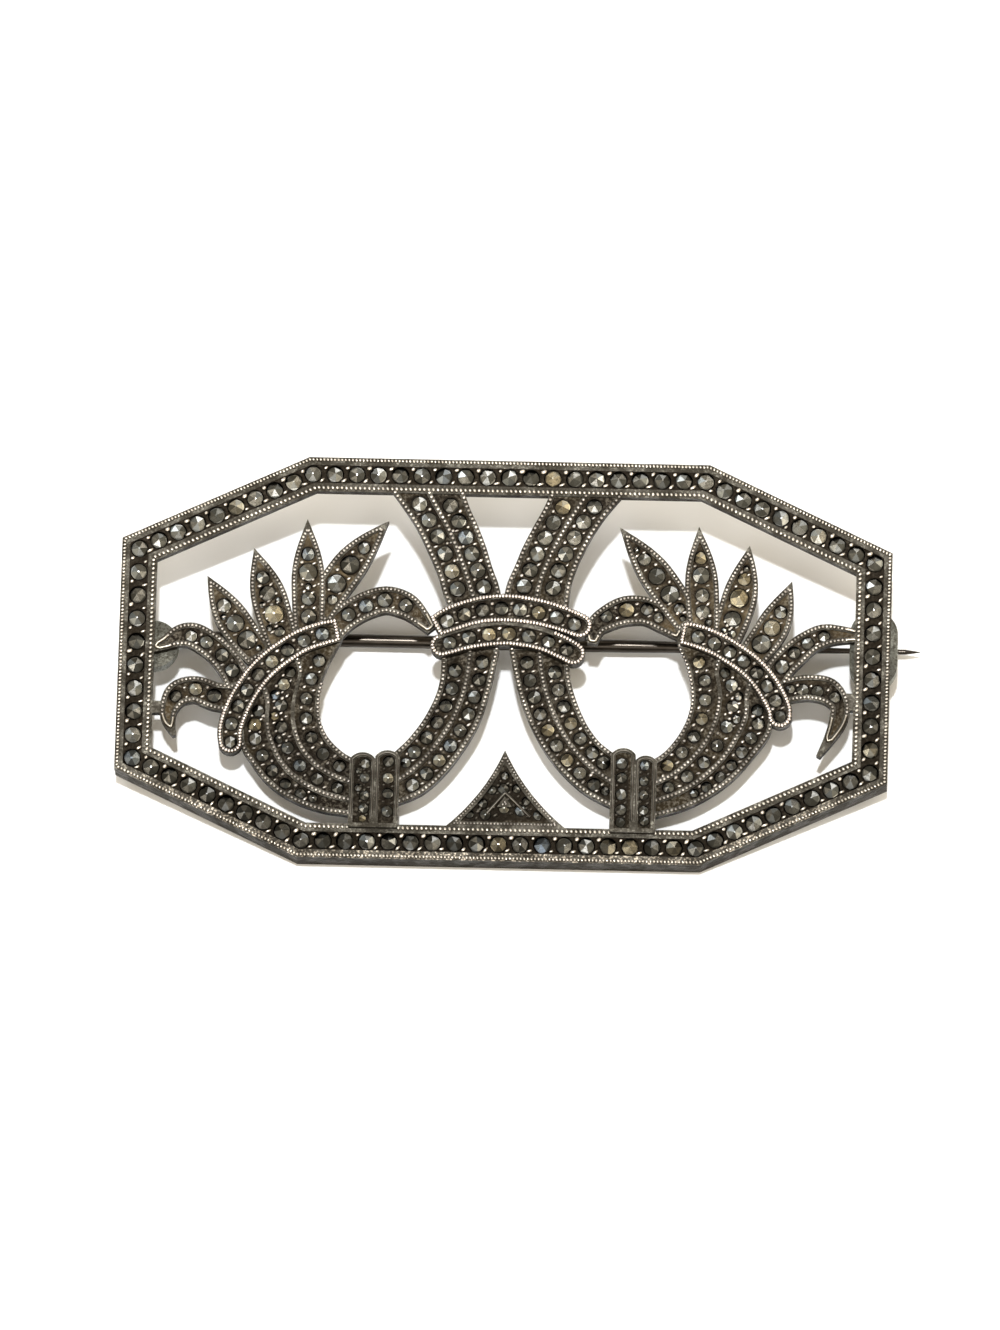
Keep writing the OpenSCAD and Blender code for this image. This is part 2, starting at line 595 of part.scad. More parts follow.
silver_openwork();
frame_stones();
band_stones();
tie_stones();
tail_stones();
horn_stones();
mouth_stones();
leaf_stones();
hinge_rivet();
pin_stem();
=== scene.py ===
"""Openwork silver brooch, dressed for the camera.

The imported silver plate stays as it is. This script reads its channels and rims and lays the work
of the setter over them: the ground between the stones, millgrain and wire along the rims, faceted
stones, and the small grains that hold them. Lengths are in millimetres on the flat front, with
+Y to the upper bar, and each finished piece is laid down into the resting pose in metres.
"""
from __future__ import annotations

import json
import logging
import math
from dataclasses import dataclass, field
from enum import Enum, IntEnum
from functools import partial, reduce
from typing import Any, Iterable, Sequence

import bmesh
import bpy
import numpy as np
from bmesh.types import BMesh, BMVert
from bpy.types import Material, Mesh, Node, NodeOutputs, NodeSocket as Socket, NodeTree, Object
from mathutils import Matrix, Vector
from mathutils.bvhtree import BVHTree
from mathutils.kdtree import KDTree


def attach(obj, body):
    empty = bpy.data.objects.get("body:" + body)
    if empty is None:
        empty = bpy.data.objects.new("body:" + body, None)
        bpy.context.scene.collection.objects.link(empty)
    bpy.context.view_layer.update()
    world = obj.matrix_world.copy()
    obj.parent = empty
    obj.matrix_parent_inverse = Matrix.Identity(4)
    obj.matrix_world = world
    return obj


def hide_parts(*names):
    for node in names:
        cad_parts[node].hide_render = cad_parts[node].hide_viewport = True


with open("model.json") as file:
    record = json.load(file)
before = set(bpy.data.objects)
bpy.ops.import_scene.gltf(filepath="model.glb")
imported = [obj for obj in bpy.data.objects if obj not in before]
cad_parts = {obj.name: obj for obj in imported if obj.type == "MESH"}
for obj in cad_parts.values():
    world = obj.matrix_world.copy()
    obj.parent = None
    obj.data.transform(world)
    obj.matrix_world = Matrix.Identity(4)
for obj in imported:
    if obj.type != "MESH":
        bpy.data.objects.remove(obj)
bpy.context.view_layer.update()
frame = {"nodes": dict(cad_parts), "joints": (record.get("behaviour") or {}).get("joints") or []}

log = logging.getLogger("brooch")

MM = 0.001
# Middle of the rivet on the flat front
HINGE = Vector((-27.3, 2.5, -2.8))
# Where a long bar of the frame meets a slanted one, and the way that the slanted one faces
FRAME_CORNER = Vector((15.1, 15.7))
FRAME_CUT = Vector((6.65, 13.9))
# Reach of a packed stone's corners, for each millimetre of its width
CORNER_REACH = 0.5195
# Height that stands for an opening
NOWHERE = -99.0
# Steps of the grids on which two points count as one
STEPS_PER_METRE = 1e6
STEPS_PER_MM = 1e4

Colour = tuple[float, float, float]
Place = tuple[float, float, float]
Span = tuple[float, float]
Value = Any


# Finishes


@dataclass(frozen=True)
class OldSilver:
    """Worn silver of the plate, brown where hands don't reach. Heights are over its back."""

    body: Colour = (0.062, 0.056, 0.046)
    brown: Colour = (0.026, 0.020, 0.013)
    bright: Colour = (0.15, 0.14, 0.115)
    band: Colour = (0.42, 0.365, 0.29)
    # Grey-green of the hinge and catch plates, made lighter with painted light where they lie in shade
    disc_tint_and_light: Colour = (0.33, 0.335, 0.285)
    roughness: Span = (0.66, 0.48)
    floor_heights: Span = (0.62, 0.68)
    wall_heights: Span = (0.72, 0.95)
    top_heights: Span = (1.02, 1.09)
    disc_heights: Span = (0.52, 0.46)
    sunk: float = 0.85
    spotted: float = 0.7
    flecks: Span = (0.50, 0.64)
    fleck_scale: float = 4800.0
    spot_scale: float = 5200.0
    pit_scale: float = 3600.0
    pit_depth: float = 0.00016
    least: float = 0.5


@dataclass(frozen=True)
class BeadSilver:
    """Millgrain and wire: rubbed bright on top with a painted highlight there, dark in the gaps with oxide
    and painted shade.
    """

    name: str = "bead_silver"
    gap: Colour = (0.036, 0.029, 0.022)
    # Painted highlight on the crown of each bead, over rubbed metal
    crown: Colour = (0.86, 0.79, 0.72)
    roughness: float = 0.28
    least: float = 0.55
    rubbed: float = 0.5
    top: Span = (0.45, 0.97)
    stained: float = 0.9


@dataclass(frozen=True)
class DarkGround:
    """Oxidised silver between the stones, with painted shade beside each stone."""

    name: str = "dark_ground"
    deep: Colour = (0.014, 0.011, 0.008)
    raised: Colour = (0.15, 0.13, 0.10)
    ochre: Colour = (0.070, 0.052, 0.026)
    stained: float = 0.35
    roughness: float = 0.56
    least: float = 0.55
    stain_scale: float = 190.0
    spot_scale: float = 4200.0
    pit_scale: float = 4600.0
    pit_depth: float = 0.00012
    rubbed: Span = (0.5, 0.4)
    # Strength of the painted shade beside each stone
    shaded: float = 0.85


@dataclass(frozen=True)
class Marcasite:
    """Polished dark stone with flat facets, each facet with its own painted reflection: the darkest and
    lightest facet of each kind of stone.
    """

    # Painted shade round the foot of each stone, where it sits in its seat
    edge: Colour = (0.030, 0.030, 0.026)
    grey: tuple[Colour, Colour] = ((0.105, 0.107, 0.098), (0.62, 0.62, 0.595))
    straw: tuple[Colour, Colour] = ((0.19, 0.165, 0.115), (0.76, 0.67, 0.46))
    blue: tuple[Colour, Colour] = ((0.095, 0.120, 0.150), (0.40, 0.48, 0.58))
    straw_tones: Span = (0.86, 0.95)
    blue_tones: Span = (0.09, 0.03)
    # Heights on the stone over which the painted shade at its foot fades out
    rim: Span = (0.30, 0.62)
    spread: float = 2.6
    roughness: float = 0.22
    spot_scale: float = 5200.0
    haze: float = 0.5
    least: float = 0.32


@dataclass(frozen=True)
class DarkSteel:
    """Drawn wire of the pin."""

    body: Colour = (0.040, 0.034, 0.028)
    worn: Colour = (0.105, 0.090, 0.076)
    roughness: Span = (0.26, 0.40)
    streaks: Span = (0.35, 0.7)
    streak_scale: float = 5200.0
    drawn_out: Place = (0.06, 1.0, 1.0)


@dataclass(frozen=True)
class PaperFloor:
    """Matt white paper."""

    body: Colour = (0.90, 0.90, 0.90)
    roughness: float = 0.9


class BeadTone(Enum):
    """Finishes of beads, wire and grains."""

    PLAIN = BeadSilver()
    BRIGHT = BeadSilver("rubbed_bead_silver", (0.11, 0.09, 0.075), (0.95, 0.86, 0.81), 0.26, rubbed=0.8)
    FRAME = BeadSilver("frame_bead_silver", crown=(0.82, 0.755, 0.67), least=0.8, rubbed=0.8)
    DULL = BeadSilver("dull_bead_silver", (0.030, 0.024, 0.018), (0.17, 0.155, 0.13), 0.38)
    TIP = BeadSilver("tip_silver", crown=(0.50, 0.45, 0.37), roughness=0.34)


class GroundTone(Enum):
    """Finishes of the ground between the stones."""

    DARK = DarkGround()
    LEAF = DarkGround("leaf_ground", (0.020, 0.015, 0.010), (0.17, 0.145, 0.105), (0.125, 0.093, 0.052),
                      0.75, 0.52)
    CURL = DarkGround("curl_ground", ochre=(0.105, 0.075, 0.040), stained=0.6)


class Metal(Enum):
    """Finishes of the CAD nodes that keep their own shape."""

    SILVER = OldSilver()
    STEEL = DarkSteel()


# Options and small records


class RimStyle(Enum):
    """How the edge of a channel is worked."""

    BEADED = "millgrain"
    SMOOTH = "wire"


class Level(Enum):
    """Floor of a channel and top of its rim, in millimetres over the back of the plate."""

    PLATE = (0.70, 1.10)
    MOUTH = (0.95, 1.35)
    BINDING = (1.21, 1.45)
    KNOT = (1.25, 1.65)

    @property
    def floor(self) -> float:
        """Height of the channel's floor."""
        return self.value[0]

    @property
    def top(self) -> float:
        """Height of the rim beside the channel."""
        return self.value[1]


class Seed(IntEnum):
    """The fixed seed of each random draw."""

    BEAD_LENGTH = 11
    BEAD_HEIGHT = 12
    BEAD_WIDTH = 14
    LEAN_X = 21
    LEAN_Y = 22
    TURN = 23
    STONE_TONE = 24
    FACET_TONE = 25
    GRAIN_WIDTH = 31
    GRAIN_LENGTH = 33
    GRAIN_ANGLE = 34


@dataclass(frozen=True)
class Rim:
    """How a line along a rim is worked: lengths in millimetres, the slant in radians."""

    radius: float = 0.165
    pitch: float = 0.34
    offset: float = 0.20
    across: float = 1.15
    slant: float = 0.0
    sink: float = 0.01
    clear: float = 0.22
    lowest: float = NOWHERE
    tone: BeadTone = BeadTone.PLAIN
    style: RimStyle = RimStyle.BEADED


@dataclass(frozen=True)
class Grain:
    """One setting grain: its middle, its angle, its width and how many times longer it is."""

    x: float
    y: float
    angle: float
    width: float
    length: float


@dataclass
class Stone:
    """One stone: its middle on the front and its width."""

    x: float
    y: float
    width: float


# Node trees


class Bench:
    """A node tree under construction, for shaders and for geometry alike."""

    NUMBERS = ("DOT_PRODUCT", "LENGTH", "DISTANCE")

    def __init__(self, tree: NodeTree) -> None:
        """Starts on a tree."""
        self.tree = tree

    def node(self, kind: str, inputs: dict[Any, Value] | None = None, **settings: Any) -> Node:
        """Adds a node.

        Args:
            kind: Blender's name of the node type.
            inputs: A value or an output socket for each input, by name or number.
            settings: Properties of the node.

        Returns:
            The node.
        """
        made = self.tree.nodes.new(kind)
        for name, value in settings.items():
            setattr(made, name, value)
        for key, value in (inputs or {}).items():
            self.feed(made.inputs[key], value)
        return made

    def feed(self, socket: Socket, value: Value) -> None:
        """Gives an input its value, or links it.

        Args:
            socket: The input.
            value: A constant, or the output that feeds it.
        """
        if isinstance(value, Socket):
            self.tree.links.new(value, socket)
        elif socket.type == "RGBA":
            socket.default_value = (*value[:3], 1.0)
        else:
            socket.default_value = value

    def math(self, operation: str, *values: Value) -> Socket:
        """Adds a Math node on constants or outputs."""
        return self.node("ShaderNodeMath", dict(enumerate(values)), operation=operation).outputs[0]

    def plus(self, first: Value, second: Value) -> Socket:
        """Sum of two values."""
        return self.math("ADD", first, second)

    def minus(self, first: Value, second: Value) -> Socket:
        """Difference of two values."""
        return self.math("SUBTRACT", first, second)

    def times(self, *values: Value) -> Socket:
        """Product of all the values."""
        return reduce(partial(self.math, "MULTIPLY"), values)

    def line(self, value: Value, slope: Value, start: Value) -> Socket:
        """A value times a slope, plus a start."""
        return self.math("MULTIPLY_ADD", value, slope, start)

    def vector(self, operation: str, *values: Value) -> Socket:
        """Adds a Vector Math node, and gives its number where the operation makes one."""
        made = self.node("ShaderNodeVectorMath", dict(enumerate(values)), operation=operation)
        return made.outputs["Value" if operation in self.NUMBERS else "Vector"]

    def join(self, x: Value, y: Value, z: Value) -> Socket:
        """Vector of three numbers."""
        return self.node("ShaderNodeCombineXYZ", {0: x, 1: y, 2: z}).outputs[0]

    def part(self, vector: Value, axis: int) -> Socket:
        """One number of a vector."""
        return self.node("ShaderNodeSeparateXYZ", {0: vector}).outputs[axis]

    def ramp(self, value: Value, low: float, high: float, out_low: float = 0.0,
             out_high: float = 1.0) -> Socket:
        """Smooth step from one result to another, while the value goes from low to high."""
        return self.node("ShaderNodeMapRange", {0: value, 1: low, 2: high, 3: out_low, 4: out_high},
                         interpolation_type="SMOOTHSTEP").outputs[0]

    def blend(self, mask: Value, first: Value, second: Value) -> Socket:
        """Mixes two colours: the first where the mask is 0, the second where it is 1."""
        return self.node("ShaderNodeMix", {0: mask, 6: first, 7: second}, data_type="RGBA").outputs[2]

    def noise(self, where: Value, scale: Value, detail: float, rough: float) -> Socket:
        """Noise as a value, with so many features to the metre and so many octaves."""
        return self.node("ShaderNodeTexNoise", {"Vector": where, "Scale": scale, "Detail": detail,
                                                "Roughness": rough}).outputs[0]

    def real(self, instances: Value) -> Socket:
        """Turns instances into plain geometry."""
        return self.node("GeometryNodeRealizeInstances", {"Geometry": instances}).outputs[0]

    def height(self) -> Socket:
        """Height of each point of the geometry."""
        return self.part(self.node("GeometryNodeInputPosition").outputs[0], 2)

    def named(self, name: str) -> Socket:
        """Reads a number that the geometry carries.

        Args:
            name: Name of the attribute.

        Returns:
            The value output.
        """
        if self.tree.type == "SHADER":
            return self.node("ShaderNodeAttribute", attribute_name=name).outputs["Fac"]
        return self.node("GeometryNodeInputNamedAttribute", {"Name": name}, data_type="FLOAT").outputs[0]


class Group:
    """A node group with named sockets, each of the kind that its name stands for."""

    KINDS = {"Where": "Vector", "Normal": "Vector", "Colour": "Color", "Geometry": "Geometry",
             "Material": "Material", "Stone": "Object", "Seats": "Object"}

    def __init__(self, name: str, kind: str, inputs: dict[str, float | None], outputs: Sequence[str]) -> None:
        """Makes an empty group.

        Args:
            name: Name of the group.
            kind: ShaderNodeTree or GeometryNodeTree.
            inputs: Name and default of each input, None for what isn't a number.
            outputs: Name of each output.
        """
        self.tree = bpy.data.node_groups.new(name, kind)
        for label, default in inputs.items():
            socket = self._socket(label, "INPUT")
            if default is not None:
                socket.default_value = default
        for label in outputs:
            self._socket(label, "OUTPUT")
        self.bench = Bench(self.tree)
        self.given = self.tree.nodes.new("NodeGroupInput").outputs
        self.result = self.tree.nodes.new("NodeGroupOutput").inputs

    def _socket(self, label: str, way: str) -> bpy.types.NodeTreeInterfaceSocket:
        """Adds a socket to one side of the group."""
        kind = "NodeSocket" + self.KINDS.get(label, "Float")
        return self.tree.interface.new_socket(label, in_out=way, socket_type=kind)

    def identifier(self, label: str) -> str:
        """Identifier of an input, by its name."""
        return next(s.identifier for s in self.tree.interface.items_tree
                    if s.in_out == "INPUT" and s.name == label)


def placed(name: str, data: Any) -> Object:
    """Makes an object of its data and links it to the scene.

    Args:
        name: Name of the object.
        data: Mesh, light or camera.

    Returns:
        The object.
    """
    made = bpy.data.objects.new(name, data)
    bpy.context.scene.collection.objects.link(made)
    return made


# How the front lies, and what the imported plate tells


@dataclass(frozen=True)
class Lie:
    """Turn and shift that lay the flat front down."""

    tilt: float
    shift: Vector

    @classmethod
    def from_joint(cls, joint: dict[str, Any]) -> Lie:
        """Reads the pose from the pin's joint.

        Args:
            joint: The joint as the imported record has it.

        Returns:
            The pose.
        """
        tilt = math.atan2(joint["axis"][2], joint["axis"][1])
        place = Vector(joint["pos_m"]) / MM
        return cls(tilt, place - Matrix.Rotation(tilt, 3, "X") @ HINGE)

    @property
    def turn(self) -> Matrix:
        """Turn of the front, whose columns are its own directions."""
        return Matrix.Rotation(self.tilt, 3, "X")

    @property
    def matrix(self) -> Matrix:
        """Matrix from metres on the flat front to metres in the row frame."""
        return Matrix.Translation(self.shift * MM) @ Matrix.Rotation(self.tilt, 4, "X")

    def flatten(self, points: np.ndarray) -> np.ndarray:
        """Brings points of the row frame, in metres, back to the flat front, in millimetres."""
        turn = np.array(Matrix.Rotation(-self.tilt, 3, "X"))
        return (points / MM - np.array(self.shift)) @ turn.T


def welded(node: Object, lie: Lie) -> tuple[np.ndarray, np.ndarray]:
    """Points and triangles of a CAD node on the flat front, with equal points joined.

    Args:
        node: The CAD node's object.
        lie: How the front lies.

    Returns:
        Points in millimetres, and triangles as rows of point numbers.
    """
    mesh = node.data
    mesh.calc_loop_triangles()
    places = np.empty(len(mesh.vertices) * 3)
    mesh.vertices.foreach_get("co", places)
    corners = np.empty(len(mesh.loop_triangles) * 3, dtype=int)
    mesh.loop_triangles.foreach_get("vertices", corners)
    places = places.reshape(-1, 3)
    _, first, same = np.unique(np.round(places * STEPS_PER_METRE).astype(int), axis=0,
                               return_index=True, return_inverse=True)
    return lie.flatten(places[first]), same.ravel()[corners].reshape(-1, 3)


@dataclass
class Channel:
    """One sunk field of the plate: its floor and the closed lines around it."""

    level: Level
    triangles: np.ndarray
    loops: list[np.ndarray]

    def holds(self, x: float, y: float) -> bool:
        """Whether a point of the front lies over this channel's floor.

        Args:
            x: Place along the front.
            y: Place up the front.

        Returns:
            True inside.
        """
        corners = [self.triangles[:, k] for k in range(3)]
        inside = np.ones(len(self.triangles), dtype=bool)
        for a, b in zip(corners, corners[1:] + corners[:1]):
            inside &= (b[:, 0] - a[:, 0]) * (y - a[:, 1]) - (b[:, 1] - a[:, 1]) * (x - a[:, 0]) >= 0
        return bool(inside.any())


class Plate:
    """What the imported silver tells: its channels, and how high it stands anywhere."""

    FLAT = 0.999
    FLOOR_PLAY = 0.004
    PROBE_FROM = 10.0
    PROBE_SHIFTS = (0.0, 0.004, -0.004)

    def __init__(self, node: Object, lie: Lie) -> None:
        """Reads the silver node.

        Args:
            node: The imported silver.
            lie: How the front lies.
        """
        self.points, self.triangles = welded(node, lie)
        self.tree = BVHTree.FromPolygons(self.points.tolist(), self.triangles.tolist())
        corner = self.points[self.triangles]
        cross = np.cross(corner[:, 1] - corner[:, 0], corner[:, 2] - corner[:, 0])
        self.faces_up = cross[:, 2] > self.FLAT * np.linalg.norm(cross, axis=1)
        self.heights = corner[:, :, 2].mean(1)
        self.channels = [c for level in Level for c in self._channels_at(level)]

    def height(self, x: float, y: float) -> float:
        """Height of the silver at a point of the front.

        Args:
            x: Place along the front.
            y: Place up the front.

        Returns:
            The height over the back of the plate, or NOWHERE in an opening.
        """
        hits = [self.tree.ray_cast(Vector((x + shift, y + shift / 2, self.PROBE_FROM)), Vector((0, 0, -1)))[0]
                for shift in self.PROBE_SHIFTS]
        return max(hit.z if hit else NOWHERE for hit in hits)

    def _channels_at(self, level: Level) -> list[Channel]:
        """Finds the channels of one level.

        Args:
            level: The level of their floors.

        Returns:
            One channel for each connected floor.
        """
        here = self.triangles[self.faces_up & (np.abs(self.heights - level.floor) < self.FLOOR_PLAY)]
        owner: dict[tuple[int, int], int] = {}
        for number, (a, b, c) in enumerate(here.tolist()):
            owner[(a, b)] = owner[(b, c)] = owner[(c, a)] = number
        group = list(range(len(here)))

        def root(n: int) -> int:
            """Follows the groups to their first member.

            Args:
                n: Number of a triangle.

            Returns:
                Number of the first triangle of its group.
            """
            while group[n] != n:
                group[n] = group[group[n]]
                n = group[n]
            return n

        for (a, b), number in owner.items():
            if (b, a) in owner:
                group[root(number)] = root(owner[(b, a)])
        edge = {a: b for (a, b) in owner if (b, a) not in owner}
        loops: dict[int, list[np.ndarray]] = {}
        while edge:
            start, point = edge.popitem()
            kin = root(owner[(start, point)])
            line = [start]
            while point != start:
                line.append(point)
                point = edge.pop(point)
            loops.setdefault(kin, []).append(self.points[line][:, :2])
        kinds = np.array([root(n) for n in range(len(here))])
        return [Channel(level, self.points[here[kinds == kin]][:, :, :2], lines)
                for kin, lines in loops.items()]


def stones_of(node: Object, lie: Lie) -> list[Stone]:
    """Finds the stones of a CAD node.

    Args:
        node: The node, which holds one small solid for each stone.
        lie: How the front lies.

    Returns:
        The stones, in the order of their first points.
    """
    points, triangles = welded(node, lie)
    group = np.arange(len(points))
    while True:
        joined = group.copy()
        low = group[triangles].min(1)
        for k in range(3):
            np.minimum.at(joined, triangles[:, k], low)
        joined = joined[joined]
        if (joined == group).all():
            break
        group = joined
    made = []
    for kin in np.unique(group):
        own = points[group == kin, :2]
        middle = (own.min(0) + own.max(0)) / 2
        made.append(Stone(*middle, np.linalg.norm(own - middle, axis=1).max() / CORNER_REACH))
    return made


def dense(line: np.ndarray, step: float) -> np.ndarray:
    """Closed line with a point at least every step.

    Args:
        line: Points of the closed line.
        step: Widest distance between two points.

    Returns:
        The denser closed line.
    """
    out = []
    for a, b in zip(line, np.roll(line, -1, axis=0)):
        count = max(1, math.ceil(np.linalg.norm(b - a) / step))
        out.extend(a + (b - a) * (k / count) for k in range(count))
    return np.array(out)


def moved_out(line: np.ndarray, distance: float, sharpest: float = 0.45,
              shortest: float = 1e-4) -> np.ndarray:
    """Closed line moved away from the channel on its left.

    Args:
        line: Points of the closed line.
        distance: How far it moves.
        sharpest: Keeps a sharp corner from moving too far: 0 lets it, 2 shortens every corner.
        shortest: Edges below this length are left out.

    Returns:
        The moved line.
    """
    gaps = np.linalg.norm(np.roll(line, -1, axis=0) - line, axis=1)
    line = line[gaps > shortest]
    ahead = np.roll(line, -1, axis=0) - line
    ahead /= np.linalg.norm(ahead, axis=1)[:, None]
    right = np.stack([ahead[:, 1], -ahead[:, 0]], 1)
    before = np.roll(right, 1, axis=0)
    corner = (right + before) / np.maximum(1 + (right * before).sum(1), sharpest)[:, None]
    return line + corner * distance


def split_by(line: np.ndarray, mask: np.ndarray) -> list[tuple[np.ndarray, bool]]:
    """Cuts a line wherever a mask over its points changes, and gives each piece with its truth value."""
    cuts = np.flatnonzero(mask[1:] != mask[:-1]) + 1
    return list(zip(np.split(line, cuts), mask[np.r_[0, cuts]].tolist()))


class RimLines:
    """Collects the lines that run along the rims, each rim once."""

    STEP = 0.06
    BORDER_STEP = 0.05
    SHORTEST = 0.5
    TOP_PLAY = 0.03
    BESIDE = (0.6, 1.35)
    # Points to each side over which a short gap in a line is closed
    CLOSING = range(-2, 3)

    def __init__(self, plate: Plate) -> None:
        """Starts with no lines.

        Args:
            plate: The plate whose rims are worked.
        """
        self.plate = plate
        self.taken: list[Place] = []
        self.borders = {level: self.tree((p[0], p[1], 0.0) for c in plate.channels if c.level is level
                                         for loop in c.loops for p in dense(loop, self.BORDER_STEP))
                        for level in Level}

    @staticmethod
    def tree(places: Iterable[Place]) -> KDTree:
        """Search tree over places.

        Args:
            places: The places.

        Returns:
            The balanced tree.
        """
        listed = list(places)
        tree = KDTree(len(listed))
        for number, place in enumerate(listed):
            tree.insert(place, number)
        tree.balance()
        return tree

    def along(self, loop: np.ndarray, level: Level, rim: Rim) -> list[np.ndarray]:
        """Lines beside one closed edge of a channel, which leave sharp tips bare.

        Args:
            loop: The edge.
            level: Level of the channel.
            rim: How the line is worked.

        Returns:
            Lines where the rim carries them.
        """
        line = dense(moved_out(loop, rim.offset), self.STEP)
        near = self.tree(self.taken)
        least, most = (share * rim.offset for share in self.BESIDE)
        keep = []
        for x, y in line:
            on_rim = abs(self.plate.height(x, y) - level.top) < self.TOP_PLAY
            beside = least < self.borders[level].find((x, y, 0))[2] < most
            free = not self.taken or near.find((x, y, level.top))[2] > rim.clear
            keep.append(on_rim and beside and free and y > rim.lowest)
        runs = self._runs(line, np.array(keep))
        self.taken.extend((x, y, level.top) for run in runs for x, y in run)
        return runs

    def _runs(self, line: np.ndarray, keep: np.ndarray) -> list[np.ndarray]:
        """Cuts a closed line into the runs that are kept.

        Args:
            line: The closed line.
            keep: Which of its points stay.

        Returns:
            The runs that are long enough to see. One that goes all round ends at its start.
        """
        grown = np.any([np.roll(keep, k) for k in self.CLOSING], axis=0)
        keep = np.all([np.roll(grown, k) for k in self.CLOSING], axis=0)
        if keep.all():
            return [np.vstack([line, line[:1]])]
        start = int(np.argmin(keep))
        line, keep = np.roll(line, -start, axis=0), np.roll(keep, -start)
        return [run for run, kept in split_by(line, keep) if kept and len(run) * self.STEP > self.SHORTEST]


# Meshes that the trees start from


def line_mesh(lines: Sequence[np.ndarray], height: float) -> Mesh:
    """Mesh of edges only, one chain for each line.

    Args:
        lines: The lines.
        height: Their height over the back of the plate.

    Returns:
        The mesh, in metres on the flat front.
    """
    points: list[Place] = []
    links: list[tuple[int, int]] = []
    for line in lines:
        start = len(points)
        points.extend((x * MM, y * MM, height * MM) for x, y in line)
        links.extend((k, k + 1) for k in range(start, len(points) - 1))
    mesh = bpy.data.meshes.new("lines")
    mesh.from_pydata(points, links, [])
    return mesh


def point_mesh(places: Sequence[Place], **numbers: Sequence[float]) -> Mesh:
    """Mesh of loose points that carry numbers.

    Args:
        places: The points in millimetres.
        numbers: One value for each point, by name. The widths are in metres.

    Returns:
        The mesh, in metres on the flat front.
    """
    mesh = bpy.data.meshes.new("points")
    mesh.from_pydata([tuple(c * MM for c in p) for p in places], [], [])
    for name, values in numbers.items():
        mesh.attributes.new(name, "FLOAT", "POINT").data.foreach_set("value", list(values))
    return mesh


def mesh_of(form: BMesh, name: str) -> Mesh:
    """Ends a form and gives its mesh.

    Args:
        form: The form, which is freed.
        name: Name of the mesh.

    Returns:
        The mesh.
    """
    mesh = bpy.data.meshes.new(name)
    form.to_mesh(mesh)
    form.free()
    return mesh


def plug_mesh(channels: Sequence[Channel], rise: float, sink: float = 0.03) -> Mesh:
    """Closed plugs that fill channels from under their floor up to the ground's height.

    Args:
        channels: The channels.
        rise: Height of the ground over the floor.
        sink: How far the plug reaches under the floor.

    Returns:
        The mesh, in metres on the flat front.
    """
    form = bmesh.new()
    for channel in channels:
        low, high = channel.level.floor - sink, channel.level.floor + rise
        corners: dict[tuple[int, int, bool], BMVert] = {}

        def corner(place: np.ndarray, top: bool) -> BMVert:
            """Makes a point of the plug, or finds it again.

            Args:
                place: Its place on the front.
                top: Whether it lies on the plug's top.

            Returns:
                The point.
            """
            key = (round(place[0] * STEPS_PER_MM), round(place[1] * STEPS_PER_MM), top)
            if key not in corners:
                corners[key] = form.verts.new((place[0] * MM, place[1] * MM, (high if top else low) * MM))
            return corners[key]

        for triangle in channel.triangles:
            form.faces.new([corner(p, True) for p in triangle])
            form.faces.new([corner(p, False) for p in triangle[::-1]])
        for loop in channel.loops:
            for a, b in zip(loop, np.roll(loop, -1, axis=0)):
                form.faces.new([corner(a, False), corner(b, False), corner(b, True), corner(a, True)])
    return mesh_of(form, "plug")


@dataclass(frozen=True)
class RoseCut:
    """Shape of a stone one unit wide: girdle, six main facets and a small table."""

    girdle: float = 0.12
    shoulder: Span = (0.43, 0.185)
    table: Span = (0.045, 0.36)
    foot: float = 0.43
    sides: int = 12

    def mesh(self) -> Mesh:
        """Builds the stone.

        Returns:
            A closed mesh with its base at the origin, marked from 0 there to 1 on the table.
        """
        form = bmesh.new()

        def ring(radius: float, height: float, count: int) -> list[BMVert]:
            """Ring of points."""
            return [form.verts.new((radius * math.cos(math.tau * k / count),
                                    radius * math.sin(math.tau * k / count), height)) for k in range(count)]

        half = self.sides // 2
        foot, girdle = ring(self.foot, 0.0, self.sides), ring(0.5, self.girdle, self.sides)
        shoulder, table = ring(*self.shoulder, half), ring(*self.table, half)
        form.faces.new(foot[::-1])
        form.faces.new(table)
        for k in range(self.sides):
            on = (k + 1) % self.sides
            form.faces.new([foot[k], foot[on], girdle[on], girdle[k]])
        for k in range(half):
            on, side = (k + 1) % half, girdle[2 * k + 1]
            form.faces.new([girdle[2 * k], side, shoulder[k]])
            form.faces.new([side, shoulder[on], shoulder[k]])
            form.faces.new([side, girdle[2 * on], shoulder[on]])
            form.faces.new([shoulder[k], shoulder[on], table[on], table[k]])
        bmesh.ops.recalc_face_normals(form, faces=form.faces)
        mesh = mesh_of(form, "rose_cut")
        rise = mesh.attributes.new("rise", "FLOAT", "POINT")
        rise.data.foreach_set("value", [point.co.z / self.table[1] for point in mesh.vertices])
        return mesh


# Geometry Nodes


